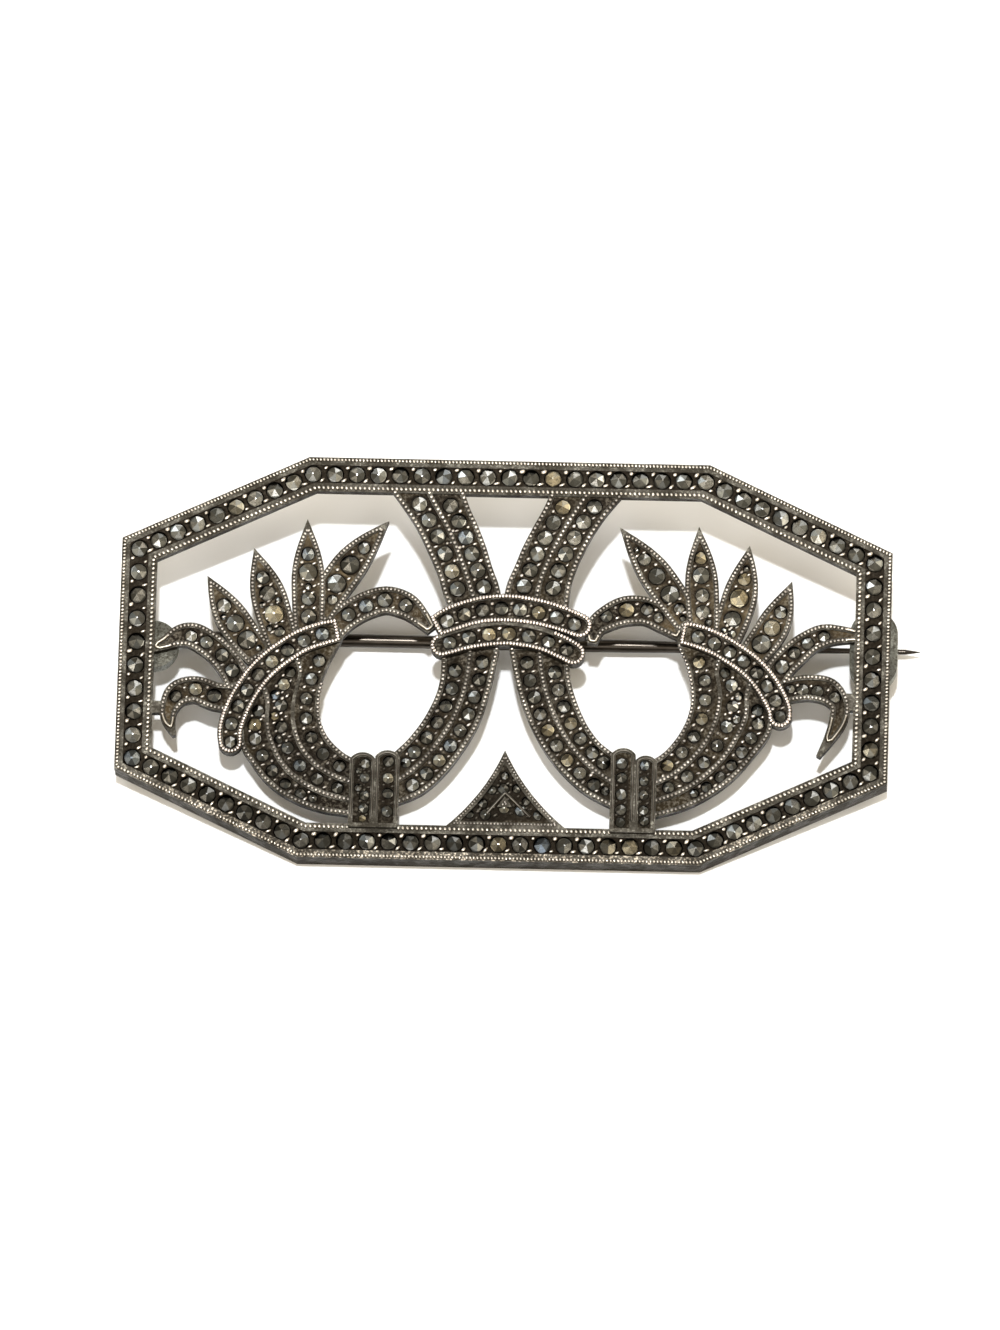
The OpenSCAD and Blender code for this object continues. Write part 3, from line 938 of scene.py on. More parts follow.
class Workshop:
    """The Geometry Nodes trees that make what repeats, and the call that runs them."""

    BEAD_SIDES, BEAD_RINGS, WIRE_SIDES, SEAT_SIDES = 8, 5, 8, 20
    # How high a bead stands for its length
    BEAD_HEIGHTS = (0.66, 0.95)
    # Half width and length of a grain for what its point says, and the turn to both sides
    GRAIN_WIDTHS = (0.38, 0.56)
    GRAIN_LENGTHS = (0.7, 1.15)
    GRAIN_TURNS = (-0.35, 0.35)
    SEAT_DEPTH = 2 * MM
    # Distances from a stone over which the painted shade on the ground fades out
    SHADE = (0.06 * MM, 0.5 * MM)

    def __init__(self, lie: Lie) -> None:
        """Builds the trees.

        Args:
            lie: How the front lies.
        """
        self.lie = lie
        self.beads = self._bead_tree()
        self.wire = self._wire_tree()
        self.stones = self._stone_tree()
        self.grains = self._grain_tree()
        self.seats = self._seat_tree()

    def grow(self, name: str, base: Mesh, group: Group, values: dict[str, Value]) -> Object:
        """Runs a tree on a mesh and keeps the result as a plain mesh, laid down.

        Args:
            name: Name of the piece.
            base: Mesh on the flat front, in metres.
            group: The tree.
            values: Its inputs by name.

        Returns:
            The finished piece.
        """
        holder = placed(name + "_base", base)
        modifier = holder.modifiers.new("build", "NODES")
        modifier.node_group = group.tree
        for label, value in values.items():
            modifier[group.identifier(label)] = value
        graph = bpy.context.evaluated_depsgraph_get()
        mesh = bpy.data.meshes.new_from_object(holder.evaluated_get(graph), preserve_all_data_layers=True,
                                               depsgraph=graph)
        holder.modifiers.remove(modifier)
        bpy.data.objects.remove(holder)
        bpy.data.meshes.remove(base)
        mesh.name = name
        mesh.transform(self.lie.matrix)
        return placed(name, mesh)

    @staticmethod
    def _group(name: str, **inputs: float | None) -> Group:
        """A tree that takes geometry and a material besides its own inputs."""
        return Group(name, "GeometryNodeTree", {"Geometry": None, "Material": None, **inputs}, ["Geometry"])

    @staticmethod
    def _finish(group: Group, made: Socket, smooth: bool) -> Group:
        """Ends a tree with its shading, its material and its output.

        Args:
            group: The tree.
            made: What it made.
            smooth: Whether faces are shaded smooth.

        Returns:
            The tree.
        """
        bench = group.bench
        shaded = bench.node("GeometryNodeSetShadeSmooth",
                            {"Geometry": bench.real(made), "Shade Smooth": smooth}).outputs[0]
        coated = bench.node("GeometryNodeSetMaterial",
                            {"Geometry": shaded, "Material": group.given["Material"]}).outputs[0]
        bench.feed(group.result[0], coated)
        return group

    @staticmethod
    def _store(bench: Bench, geometry: Value, name: str, value: Value, domain: str) -> Socket:
        """Stores a number on the points, faces or instances of geometry, under a name."""
        return bench.node("GeometryNodeStoreNamedAttribute",
                          {"Geometry": geometry, "Name": name, "Value": value},
                          data_type="FLOAT", domain=domain).outputs[0]

    @staticmethod
    def _chance(bench: Bench, low: Value, high: Value, seed: Seed) -> Socket:
        """Random number between two values, by a fixed seed."""
        return bench.node("FunctionNodeRandomValue", {2: low, 3: high, "Seed": int(seed)},
                          data_type="FLOAT").outputs[1]

    @staticmethod
    def _on_points(bench: Bench, **inputs: Value) -> Socket:
        """Places an instance on every point."""
        return bench.node("GeometryNodeInstanceOnPoints", inputs).outputs[0]

    def _bead(self, bench: Bench) -> Socket:
        """A round bead of radius 1 with its crown marked from -1 at the foot to 1 on top."""
        ball = bench.node("GeometryNodeMeshUVSphere", {"Segments": self.BEAD_SIDES,
                                                           "Rings": self.BEAD_RINGS, "Radius": 1.0})
        return self._store(bench, ball.outputs[0], "crown", bench.height(), "POINT")

    @staticmethod
    def _even_curve(group: Group, step: Value) -> Socket:
        """Turns the given edges into curves with evenly spaced points."""
        curve = group.bench.node("GeometryNodeMeshToCurve", {0: group.given["Geometry"]}).outputs[0]
        return group.bench.node("GeometryNodeResampleCurve", {"Curve": curve, "Length": step},
                                mode="LENGTH").outputs[0]

    def _bead_tree(self) -> Group:
        """Millgrain: beads at an even pitch along lines.

        Returns:
            The tree.
        """
        group = self._group("millgrain", Pitch=0.33 * MM, Radius=0.15 * MM, Across=1.15, Slant=0.0, Wear=0.2)
        bench, given = group.bench, group.given
        least = bench.minus(1.0, given["Wear"])
        size = bench.times(given["Radius"], self._chance(bench, least, 1.0, Seed.BEAD_LENGTH))
        wide = bench.times(given["Radius"], given["Across"], self._chance(bench, least, 1.0, Seed.BEAD_WIDTH))
        flat = bench.times(size, self._chance(bench, *self.BEAD_HEIGHTS, Seed.BEAD_HEIGHT))
        way = bench.node("GeometryNodeInputTangent").outputs[0]
        turn = bench.node("FunctionNodeAlignRotationToVector", {"Vector": way}, axis="X", pivot_axis="Z")
        beads = self._on_points(bench, Points=self._even_curve(group, given["Pitch"]),
                                Instance=self._bead(bench), Rotation=turn.outputs[0],
                                Scale=bench.join(size, wide, flat))
        slanted = bench.node("GeometryNodeRotateInstances",
                             {"Instances": beads, "Rotation": bench.join(0.0, 0.0, given["Slant"]),
                              "Local Space": True})
        return self._finish(group, slanted.outputs[0], True)

    def _wire_tree(self) -> Group:
        """Wire: a round rod along lines, with closed ends.

        Returns:
            The tree.
        """
        group = self._group("wire", Step=0.15 * MM, Radius=0.15 * MM)
        bench, given = group.bench, group.given
        profile = bench.node("GeometryNodeCurvePrimitiveCircle",
                             {"Resolution": self.WIRE_SIDES, "Radius": given["Radius"]})
        kept = self._store(bench, self._even_curve(group, given["Step"]), "line", bench.height(), "POINT")
        rod = bench.node("GeometryNodeCurveToMesh",
                         {"Curve": kept, "Profile Curve": profile.outputs[0], "Fill Caps": True})
        crown = bench.math("DIVIDE", bench.minus(bench.height(), bench.named("line")), given["Radius"])
        return self._finish(group, self._store(bench, rod.outputs[0], "crown", crown, "POINT"), True)

    def _stone_tree(self) -> Group:
        """Stones at points, each turned and leaned a little by chance.

        Returns:
            The tree.
        """
        group = self._group("stones", Stone=None, Lean=0.1, Coolest=0.0, Warmest=1.0)
        bench, given = group.bench, group.given
        stone = bench.node("GeometryNodeObjectInfo", {"Object": given["Stone"]}).outputs["Geometry"]
        width, back = bench.named("width"), bench.times(given["Lean"], -1.0)
        turn = bench.join(self._chance(bench, back, given["Lean"], Seed.LEAN_X),
                          self._chance(bench, back, given["Lean"], Seed.LEAN_Y),
                          self._chance(bench, 0.0, math.tau, Seed.TURN))
        stones = self._on_points(bench, Points=given["Geometry"], Instance=stone, Rotation=turn,
                                 Scale=bench.join(width, width, width))
        chance = self._chance(bench, given["Coolest"], given["Warmest"], Seed.STONE_TONE)
        toned = self._store(bench, stones, "tone", chance, "INSTANCE")
        # Painted reflection: a random brightness for each facet
        sheen = self._chance(bench, 0.0, 1.0, Seed.FACET_TONE)
        return self._finish(group, self._store(bench, bench.real(toned), "facet", sheen, "FACE"), False)

    def _grain_tree(self) -> Group:
        """Setting grains: small beads at points, as wide as each point says.

        Returns:
            The tree.
        """
        group = self._group("grains", Flatness=0.8)
        bench, given = group.bench, group.given
        wide, drawn, turned = (self._chance(bench, *span, seed) for span, seed in (
            (self.GRAIN_WIDTHS, Seed.GRAIN_WIDTH), (self.GRAIN_LENGTHS, Seed.GRAIN_LENGTH),
            (self.GRAIN_TURNS, Seed.GRAIN_ANGLE)))
        size = bench.times(bench.named("width"), wide)
        long = bench.times(size, bench.named("length"), drawn)
        angle = bench.plus(bench.named("angle"), turned)
        grains = self._on_points(bench, Points=given["Geometry"], Instance=self._bead(bench),
                                 Rotation=bench.join(0.0, 0.0, angle),
                                 Scale=bench.join(long, size, bench.times(size, given["Flatness"])))
        return self._finish(group, grains, True)

    def _seat_tree(self) -> Group:
        """Ground: plugs with a round seat cut for each stone.

        Returns:
            The tree.
        """
        group = self._group("ground", Seats=None, Play=1.04)
        bench, given = group.bench, group.given
        seats = bench.node("GeometryNodeObjectInfo", {"Object": given["Seats"]}).outputs["Geometry"]
        wide = bench.times(bench.named("width"), given["Play"])
        drill = bench.node("GeometryNodeMeshCylinder",
                           {"Vertices": self.SEAT_SIDES, "Radius": 0.5, "Depth": self.SEAT_DEPTH})
        lifted = bench.node("GeometryNodeTransform",
                            {"Geometry": drill.outputs[0], "Translation": (0, 0, self.SEAT_DEPTH / 2)})
        drills = self._on_points(bench, Points=seats, Instance=lifted.outputs[0],
                                 Scale=bench.join(wide, wide, 1.0))
        cut = bench.node("GeometryNodeMeshBoolean",
                         {"Mesh 1": given["Geometry"], "Mesh 2": bench.real(drills)},
                         operation="DIFFERENCE", solver="MANIFOLD")
        marked = self._store(bench, cut.outputs[0], "near", self._nearness(bench, seats), "POINT")
        return self._finish(group, marked, False)

    def _nearness(self, bench: Bench, seats: Value) -> Socket:
        """How close a point of the ground is to a stone, for the painted shade beside it.

        Args:
            bench: The tree.
            seats: Points at the stones, with their widths.

        Returns:
            1 beside a stone, 0 from half a millimetre on.
        """
        place = bench.node("GeometryNodeInputPosition").outputs[0]
        nearest = bench.node("GeometryNodeSampleNearest", {"Geometry": seats}, domain="POINT").outputs[0]
        middle, wide = (bench.node("GeometryNodeSampleIndex",
                                   {"Geometry": seats, "Value": value, "Index": nearest},
                                   data_type=kind, domain="POINT").outputs[0]
                        for kind, value in (("FLOAT_VECTOR", place), ("FLOAT", bench.named("width"))))
        level = bench.vector("MULTIPLY", bench.vector("SUBTRACT", place, middle), (1.0, 1.0, 0.0))
        clear = bench.minus(bench.vector("LENGTH", level), bench.times(wide, 0.5))
        return bench.ramp(clear, *self.SHADE, 1.0, 0.0)


# Materials


class Paint(Bench):
    """A material under construction on a Principled BSDF, with the shared groups at hand."""

    def __init__(self, name: str, groups: dict[str, Group], **constants: Value) -> None:
        """Starts a material.

        Args:
            name: Name of the material.
            groups: The shared shader groups by name.
            constants: Values of the shader's own sockets.
        """
        self.material = bpy.data.materials.new(name)
        self.material.use_nodes = True
        self.material.node_tree.nodes.clear()
        super().__init__(self.material.node_tree)
        self.shader = self.node("ShaderNodeBsdfPrincipled", constants)
        self.node("ShaderNodeOutputMaterial", {"Surface": self.shader.outputs[0]})
        self.where = self.node("ShaderNodeTexCoord").outputs["Object"]
        self.groups = groups

    def use(self, name: str, **values: Value) -> NodeOutputs:
        """Places a shared group on the piece's own coordinates and gives its outputs."""
        return self.node("ShaderNodeGroup", {"Where": self.where, **values},
                         node_tree=self.groups[name].tree).outputs

    def stained_and_shaded(self, colour: Value, least: float) -> Socket:
        """Sends a colour through the group that darkens it with broad stains and with painted shade towards
        the lower bar.
        """
        return self.use("grime", Colour=colour, Least=least)["Colour"]

    def coated(self, colour: Value, **others: Value) -> Material:
        """Feeds the shader.

        Args:
            colour: Its base colour.
            others: Its other sockets.

        Returns:
            The finished material.
        """
        for name, value in {"Base Color": colour, **others}.items():
            self.feed(self.shader.inputs[name], value)
        return self.material


class Finishes:
    """All the materials, made once, with the shader groups that they share."""

    # Where the painted shade lightens from the lower bar to the upper, and how much that counts beside the
    # stains
    GRIME_SLOPE = (-14 * MM, 10 * MM)
    GRIME_SHARES = (0.7, 0.3)
    # Middle and reach of the plates that carry the hinge and the catch, which get their grey-green with
    # painted light, and their soft edge
    DISCS = (((-26.4, 0.9, 0.0), 2.2), ((27.75, 1.65, 0.0), 3.2))
    DISC_EDGE = 0.2
    # How far below the middle the lighter band begins and is whole, and how far in from the edge it ends
    BAND_ENDS = (8.0, 12.0)
    BAND_EDGE = (0.54, 0.62)

    def __init__(self, lie: Lie) -> None:
        """Builds the groups and the materials.

        Args:
            lie: How the front lies.
        """
        self.lie = lie
        self.groups = {"height": self._height(), "patina": self._patina(), "pitting": self._pitting(),
                       "grime": self._grime()}
        self.metals = {Metal.SILVER: self._old_silver(Metal.SILVER.value),
                       Metal.STEEL: self._dark_steel(Metal.STEEL.value)}
        self.beads = {tone: self._bead_silver(tone.value) for tone in BeadTone}
        self.grounds = {tone: self._dark_ground(tone.value) for tone in GroundTone}
        self.stone = self._marcasite(Marcasite())
        self.paper = self._paper_floor(PaperFloor())

    def _height(self) -> Group:
        """Height over the back of the plate, in millimetres, from Object coordinates.

        Returns:
            The group.
        """
        group = Group("height_over_back", "ShaderNodeTree", {"Where": None}, ["Height"])
        up = self.lie.turn.col[2]
        rise = group.bench.vector("DOT_PRODUCT", group.given["Where"], tuple(up / MM))
        group.bench.feed(group.result[0], group.bench.minus(rise, up.dot(self.lie.shift)))
        return group

    @staticmethod
    def _patina() -> Group:
        """Uneven tarnish: broad stains, small spots and rubbed places.

        Returns:
            The group.
        """
        group = Group("patina", "ShaderNodeTree", {"Where": None, "Stains": 260.0, "Spots": 2600.0},
                      ["Stain", "Spot", "Rub"])
        bench, where, stains = group.bench, group.given["Where"], group.given["Stains"]
        for name, scale, detail, rough, low, high in (
                ("Stain", stains, 4.0, 0.6, 0.40, 0.66),
                ("Spot", group.given["Spots"], 3.0, 0.6, 0.42, 0.68),
                ("Rub", bench.times(stains, 2.7), 3.0, 0.5, 0.38, 0.62)):
            bench.feed(group.result[name], bench.ramp(bench.noise(where, scale, detail, rough), low, high))
        return group

    @staticmethod
    def _pitting() -> Group:
        """Small dents and pits of old cast silver, as a normal.

        Returns:
            The group.
        """
        group = Group("pitting", "ShaderNodeTree", {"Where": None, "Scale": 3000.0, "Depth": 0.0001},
                      ["Normal"])
        bench, given = group.bench, group.given
        fine = bench.noise(given["Where"], given["Scale"], detail=3.0, rough=0.6)
        broad = bench.noise(given["Where"], bench.times(given["Scale"], 0.3), detail=2.0, rough=0.5)
        level = bench.plus(bench.times(fine, 0.5), broad)
        bump = bench.node("ShaderNodeBump", {"Height": level, "Strength": 1.0, "Distance": given["Depth"]})
        bench.feed(group.result[0], bump.outputs[0])
        return group

    def _grime(self) -> Group:
        """Darkens a colour with painted shade towards the lower bar and with broad stains.

        Returns:
            The group.
        """
        group = Group("grime", "ShaderNodeTree", {"Where": None, "Colour": None, "Least": 0.5}, ["Colour"])
        bench, given = group.bench, group.given
        # Painted shade: darker towards the lower bar
        slope = bench.ramp(bench.part(given["Where"], 1), *self.GRIME_SLOPE)
        stain = bench.ramp(bench.noise(given["Where"], 150.0, detail=3.0, rough=0.5), 0.35, 0.65)
        unstained_and_lit = bench.plus(*(bench.times(*pair) for pair in zip((slope, stain), self.GRIME_SHARES)))
        kept = bench.line(unstained_and_lit, bench.minus(1.0, given["Least"]), given["Least"])
        stained_and_shaded = bench.node("ShaderNodeVectorMath", {0: given["Colour"], "Scale": kept}, operation="SCALE")
        bench.feed(group.result[0], stained_and_shaded.outputs[0])
        return group

    def _old_silver(self, tone: OldSilver) -> Material:
        """Material of the plate.

        Args:
            tone: The finish.

        Returns:
            The material.
        """
        paint = Paint("old_silver", self.groups, Metallic=1.0)
        height = paint.use("height")["Height"]
        patina = paint.use("patina", Spots=tone.spot_scale)
        body = paint.blend(patina["Stain"], tone.body, tone.brown)
        sunk = paint.times(paint.ramp(height, *tone.floor_heights),
                           paint.ramp(height, *tone.wall_heights, 1.0, 0.0))
        shown = paint.blend(paint.times(sunk, tone.sunk), body, tone.brown)
        # Painted light on the hinge and catch plates, over their grey-green
        on_disc = paint.times(self._on_discs(paint), paint.ramp(height, *tone.disc_heights))
        spotted = paint.blend(paint.times(patina["Spot"], tone.spotted),
                              paint.blend(on_disc, shown, tone.disc_tint_and_light), tone.brown)
        fleck = paint.ramp(paint.noise(paint.where, tone.fleck_scale, detail=4.0, rough=0.65), *tone.flecks)
        top = paint.times(paint.ramp(height, *tone.top_heights), paint.line(patina["Rub"], 0.5, 0.5))
        lit = paint.blend(self._lower_band(paint), tone.bright, tone.band)
        colour = paint.blend(top, paint.stained_and_shaded(spotted, tone.least), paint.blend(fleck, tone.body, lit))
        return paint.coated(colour, Roughness=paint.ramp(patina["Rub"], 0.0, 1.0, *tone.roughness),
                            Normal=paint.use("pitting", Scale=tone.pit_scale, Depth=tone.pit_depth)["Normal"])

    def _lower_band(self, paint: Paint) -> Socket:
        """Marks the lighter band outside the stones of the frame's lower bars.

        Args:
            paint: The material.

        Returns:
            1 on the band, 0 elsewhere.
        """
        turn, shift = self.lie.turn, self.lie.shift
        across, up = (paint.vector("DOT_PRODUCT", paint.where, tuple(turn.col[k] / MM)) for k in (0, 1))
        x = paint.math("ABSOLUTE", paint.minus(across, turn.col[0].dot(shift)))
        y = paint.minus(turn.col[1].dot(shift), up)
        cut = FRAME_CUT.normalized()
        slant = paint.plus(paint.times(x, cut.x), paint.times(y, cut.y))
        inset = paint.math("MINIMUM", paint.minus(FRAME_CORNER.y, y),
                           paint.minus(cut.dot(FRAME_CORNER), slant))
        return paint.times(paint.ramp(y, *self.BAND_ENDS), paint.ramp(inset, *self.BAND_EDGE, 1.0, 0.0))

    def _on_discs(self, paint: Paint) -> Socket:
        """Marks the two plates that carry the hinge and the catch, for their grey-green with painted light.

        Args:
            paint: The material.

        Returns:
            1 on the plates, 0 elsewhere.
        """
        masks = []
        for place, reach in self.DISCS:
            middle = tuple(self.lie.matrix @ (Vector(place) * MM))
            away = paint.vector("DISTANCE", paint.where, middle)
            ends = ((reach + way * self.DISC_EDGE) * MM for way in (-1, 1))
            masks.append(paint.ramp(away, *ends, 1.0, 0.0))
        return paint.math("MAXIMUM", *masks)

    def _bead_silver(self, tone: BeadSilver) -> Material:
        """Material of millgrain, wire and grains, with a painted highlight on each crown.

        Args:
            tone: The finish.

        Returns:
            The material.
        """
        paint = Paint(tone.name, self.groups, Metallic=1.0, Roughness=tone.roughness)
        patina = paint.use("patina")
        # Painted highlight on each crown, varied by real rubbing; towards the foot, oxide and painted shade
        worn = paint.times(paint.ramp(paint.named("crown"), *tone.top),
                           paint.line(patina["Rub"], 1 - tone.rubbed, tone.rubbed))
        kept = paint.times(worn, paint.line(patina["Stain"], tone.rubbed - tone.stained, 1.0))
        return paint.coated(paint.stained_and_shaded(paint.blend(kept, tone.gap, tone.crown), tone.least))

    def _dark_ground(self, tone: DarkGround) -> Material:
        """Material of the ground between the stones.

        Args:
            tone: The finish.

        Returns:
            The material.
        """
        paint = Paint(tone.name, self.groups, Metallic=1.0, Roughness=tone.roughness)
        patina = paint.use("patina", Stains=tone.stain_scale, Spots=tone.spot_scale)
        stained = paint.blend(paint.times(patina["Stain"], tone.stained), tone.deep, tone.ochre)
        rubbed = paint.times(patina["Spot"], paint.line(patina["Rub"], *tone.rubbed))
        # Painted shade on the ground beside each stone
        colour = paint.blend(paint.times(paint.named("near"), tone.shaded),
                             paint.blend(rubbed, stained, tone.raised), tone.deep)
        return paint.coated(paint.stained_and_shaded(colour, tone.least),
                            Normal=paint.use("pitting", Scale=tone.pit_scale, Depth=tone.pit_depth)["Normal"])

    def _marcasite(self, tone: Marcasite) -> Material:
        """Material of the stones: each has its own tone, and each facet its own painted reflection, from dark
        to light.

        Args:
            tone: The finish.

        Returns:
            The material.
        """
        paint = Paint("marcasite", self.groups, Metallic=1.0, Roughness=tone.roughness)
        whole, sheen = paint.named("tone"), paint.math("POWER", paint.named("facet"), tone.spread)
        grey, straw, blue = (paint.blend(sheen, *pair) for pair in (tone.grey, tone.straw, tone.blue))
        warmed = paint.blend(paint.ramp(whole, *tone.straw_tones), grey, straw)
        tinted = paint.blend(paint.ramp(whole, *tone.blue_tones), warmed, blue)
        haze = paint.times(paint.use("patina", Spots=tone.spot_scale)["Spot"], tone.haze)
        # Painted shade: dark round the foot of each stone
        domed = paint.blend(paint.ramp(paint.named("rise"), *tone.rim), tone.edge,
                            paint.blend(haze, tinted, tone.grey[0]))
        return paint.coated(paint.stained_and_shaded(domed, tone.least))

    def _dark_steel(self, tone: DarkSteel) -> Material:
        """Material of the pin and its rivet.

        Args:
            tone: The finish.

        Returns:
            The material.
        """
        paint = Paint("dark_steel", self.groups, Metallic=1.0)
        drawn = paint.vector("MULTIPLY", paint.where, tone.drawn_out)
        streak = paint.ramp(paint.noise(drawn, tone.streak_scale, detail=3.0, rough=0.6), *tone.streaks)
        colour = paint.blend(paint.times(streak, paint.use("patina")["Stain"]), tone.body, tone.worn)
        return paint.coated(colour, Roughness=paint.ramp(streak, 0.0, 1.0, *tone.roughness))

    def _paper_floor(self, tone: PaperFloor) -> Material:
        """Material of the floor."""
        return Paint("paper_floor", self.groups, Roughness=tone.roughness).coated(tone.body)


# Sub-assemblies


@dataclass
class Kit:
    """What every sub-assembly works with."""

    plate: Plate
    lie: Lie
    lines: RimLines
    workshop: Workshop
    finishes: Finishes
    nodes: dict[str, Object]
    rose_cut: Object


@dataclass
class SetPart:
    """A part of the plate with stones in channels."""

    # Angle of a grain, its width over the part's grain width, and how many times longer it is
    UPPER_GRAIN = (0.6, 1.1, 1.5)
    LOWER_GRAIN = (0.55, 0.75, 2.5)
    LEFT_PULL = 0.4
    GRAIN_LIFT = 0.02
    FLOOR_PLAY = 0.01
    STONE_SINK = 0.005

    name: str
    level: Level = Level.PLATE
    node: str | None = None
    extra: tuple[Place, ...] = ()
    rim: Rim = Rim()
    growth: float = 1.14
    fill: Span = (0.72, 1.12)
    ground_rise: float = 0.27
    seat_rise: float = 0.10
    seat_play: float = 1.035
    lean: float = 0.14
    tones: Span = (0.0, 0.97)
    ground_tone: GroundTone = GroundTone.DARK
    grain_tone: BeadTone = BeadTone.PLAIN
    grain_width: float = 0.27
    grain_side: float = 0.36
    grain_shear: float = 0.05
    grain_reach: float = 1.75
    kit: Kit = field(init=False, repr=False)
    stones: list[Stone] = field(default_factory=list, init=False)
    channels: list[Channel] = field(default_factory=list, init=False)

    def build(self, kit: Kit) -> None:
        """Builds and dresses the part.

        Args:
            kit: What it works with.
        """
        self.kit = kit
        self.stones = stones_of(kit.nodes[self.node], kit.lie) if self.node else []
        self.stones.extend(Stone(x, y, width) for x, y, width in self.extra)
        self.channels = [c for c in kit.plate.channels if c.level is self.level
                         and any(c.holds(s.x, s.y) for s in self.stones)]
        self.fit_stones()
        self.fill_gaps()
        self.lay_ground()
        self.edge_rims()
        self.set_stones()
        self.raise_grains()

    def keep(self, name: str, base: Mesh, tree: Group, values: dict[str, Value],
             slot: str = "silver") -> None:
        """Runs a tree on a mesh, fastens the piece to the brooch and reports it.

        Args:
            name: Name of the piece after the part's own.
            base: The mesh.
            tree: The tree.
            values: The tree's inputs.
            slot: Kind of piece; with stone, the part's CAD node is hidden.
        """
        piece = self.kit.workshop.grow(f"{self.name}_{name}", base, tree, values)
        if slot == "stone" and self.node:
            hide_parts(self.node)
        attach(piece, "brooch")
        log.info("%s: %d faces", piece.name, len(piece.data.polygons))

    def _border(self, x: float, y: float) -> float:
        """Distance of a point from the nearest channel's edge."""
        return self.kit.lines.borders[self.level].find((x, y, 0.0))[2]

    def fit_stones(self, play: float = 0.03) -> None:
        """Widens the stones as far as their channel and their neighbours let them.

        Args:
            play: What stays free round each stone.
        """
        for stone in self.stones:
            others = [math.hypot(o.x - stone.x, o.y - stone.y) - o.width / 2
                      for o in self.stones if o is not stone]
            room = min([self._border(stone.x, stone.y), *others]) - play
            stone.width = max(stone.width, min(stone.width * self.growth, 2 * room))

    def fill_gaps(self, step: float = 0.12, play: float = 0.05, closeness: float = 0.06) -> None:
        """Sets further stones on bare ground, the widest that fit first and close to their neighbours.

        Args:
            step: Distance between the places that are tried.
            play: What stays free round each stone.
            closeness: How much a nearer place is preferred to a wider stone.
        """
        least, most = self.fill
        for channel in self.channels:
            low, high = channel.triangles.min((0, 1)), channel.triangles.max((0, 1))
            places = [(x, y) for x in np.arange(low[0], high[0], step)
                      for y in np.arange(low[1], high[1], step) if channel.holds(x, y)]
            rooms = np.array([self._border(x, y) - play for x, y in places])
            spots = np.array(places)
            for stone in self.stones:
                away = np.hypot(*(spots - (stone.x, stone.y)).T)
                rooms = np.minimum(rooms, away - stone.width / 2 - play)
            while len(rooms) and rooms.max() > least / 2:
                reach = np.minimum(rooms, most / 2)
                ways = (spots[:, None] - [(o.x, o.y) for o in self.stones]).transpose(2, 0, 1)
                best = int(np.argmax(reach - closeness * np.hypot(*ways).min(1)))
                if rooms[best] <= least / 2:
                    break
                x, y = spots[best]
                self.stones.append(Stone(float(x), float(y), 2 * float(reach[best])))
                rooms = np.minimum(rooms, np.hypot(*(spots - spots[best]).T) - reach[best] - play)

    def _seat_points(self, lift: float) -> Mesh:
        """Points at the stones, so far over the floor."""
        return point_mesh([(s.x, s.y, self.level.floor + lift) for s in self.stones],
                          width=[s.width * MM for s in self.stones])

    def lay_ground(self) -> None:
        """Fills the channels with ground and cuts a seat for each stone."""
        seats = placed("seats", self._seat_points(self.seat_rise))
        self.keep("ground", plug_mesh(self.channels, self.ground_rise), self.kit.workshop.seats,
                  {"Seats": seats, "Play": self.seat_play,
                   "Material": self.kit.finishes.grounds[self.ground_tone]})
        bpy.data.objects.remove(seats)

    def rim_lines(self) -> list[np.ndarray]:
        """Lines of the rims beside the channels."""
        return [run for channel in self.channels for loop in channel.loops
                for run in self.kit.lines.along(loop, self.level, self.rim)]

    def edge_rims(self) -> None:
        """Works the rims with millgrain or wire."""
        self.work_lines("rims", self.rim_lines(), self.rim)

    def work_lines(self, name: str, lines: list[np.ndarray], rim: Rim) -> None:
        """Lays beads or wire along lines.

        Args:
            name: Name of the piece after the part's own.
            lines: The lines.
            rim: How they are worked.
        """
        tree = self.kit.workshop.wire
        values: dict[str, Value] = {"Radius": rim.radius * MM, "Material": self.kit.finishes.beads[rim.tone]}
        if rim.style is RimStyle.BEADED:
            tree = self.kit.workshop.beads
            values.update(Pitch=rim.pitch * MM, Across=rim.across, Slant=rim.slant)
        self.keep(name, line_mesh(lines, self.level.top - rim.sink), tree, values)

    def set_stones(self) -> None:
        """Sets the faceted stones, in the place of the CAD node's."""
        self.keep("stones_cut", self._seat_points(self.seat_rise - self.STONE_SINK), self.kit.workshop.stones,
                  {"Stone": self.kit.rose_cut, "Lean": self.lean, "Coolest": self.tones[0],
                   "Warmest": self.tones[1], "Material": self.kit.finishes.stone}, "stone")

    def grains_between(self) -> list[Grain]:
        """Finds the grains on both sides of each gap between two neighbours.

        Returns:
            A short thick grain on the upper side of each gap and a long thin one on the lower.
        """
        made: list[Grain] = []
        for k, a in enumerate(self.stones):
            for b in self.stones[k + 1:]:
                way = Vector((b.x - a.x, b.y - a.y))
                width = (a.width + b.width) / 2
                if way.length > self.grain_reach * width:
                    continue
                middle = Vector((a.x + b.x, a.y + b.y)) / 2
                side = Vector((-way.y, way.x)).normalized() * self.grain_side * width
                if side.y - self.LEFT_PULL * side.x < 0:
                    side = -side
                side += Vector((side.y, -side.x)).normalized() * self.grain_shear
                for spot, (angle, wide, long) in ((middle + side, self.UPPER_GRAIN),
                                                  (middle - side, self.LOWER_GRAIN)):
                    made.append(Grain(spot.x, spot.y, angle, self.grain_width * wide, long))
        return made

    def raise_grains(self) -> None:
        """Raises the grains that hold the stones."""
        height = self.level.floor + self.ground_rise + self.GRAIN_LIFT
        grains = [g for g in self.grains_between()
                  if abs(self.kit.plate.height(g.x, g.y) - self.level.floor) < self.FLOOR_PLAY]
        if grains:
            mesh = point_mesh([(g.x, g.y, height) for g in grains], width=[g.width * MM for g in grains],
                              angle=[g.angle for g in grains], length=[g.length for g in grains])
            self.keep("grains", mesh, self.kit.workshop.grains,
                      {"Material": self.kit.finishes.beads[self.grain_tone]})


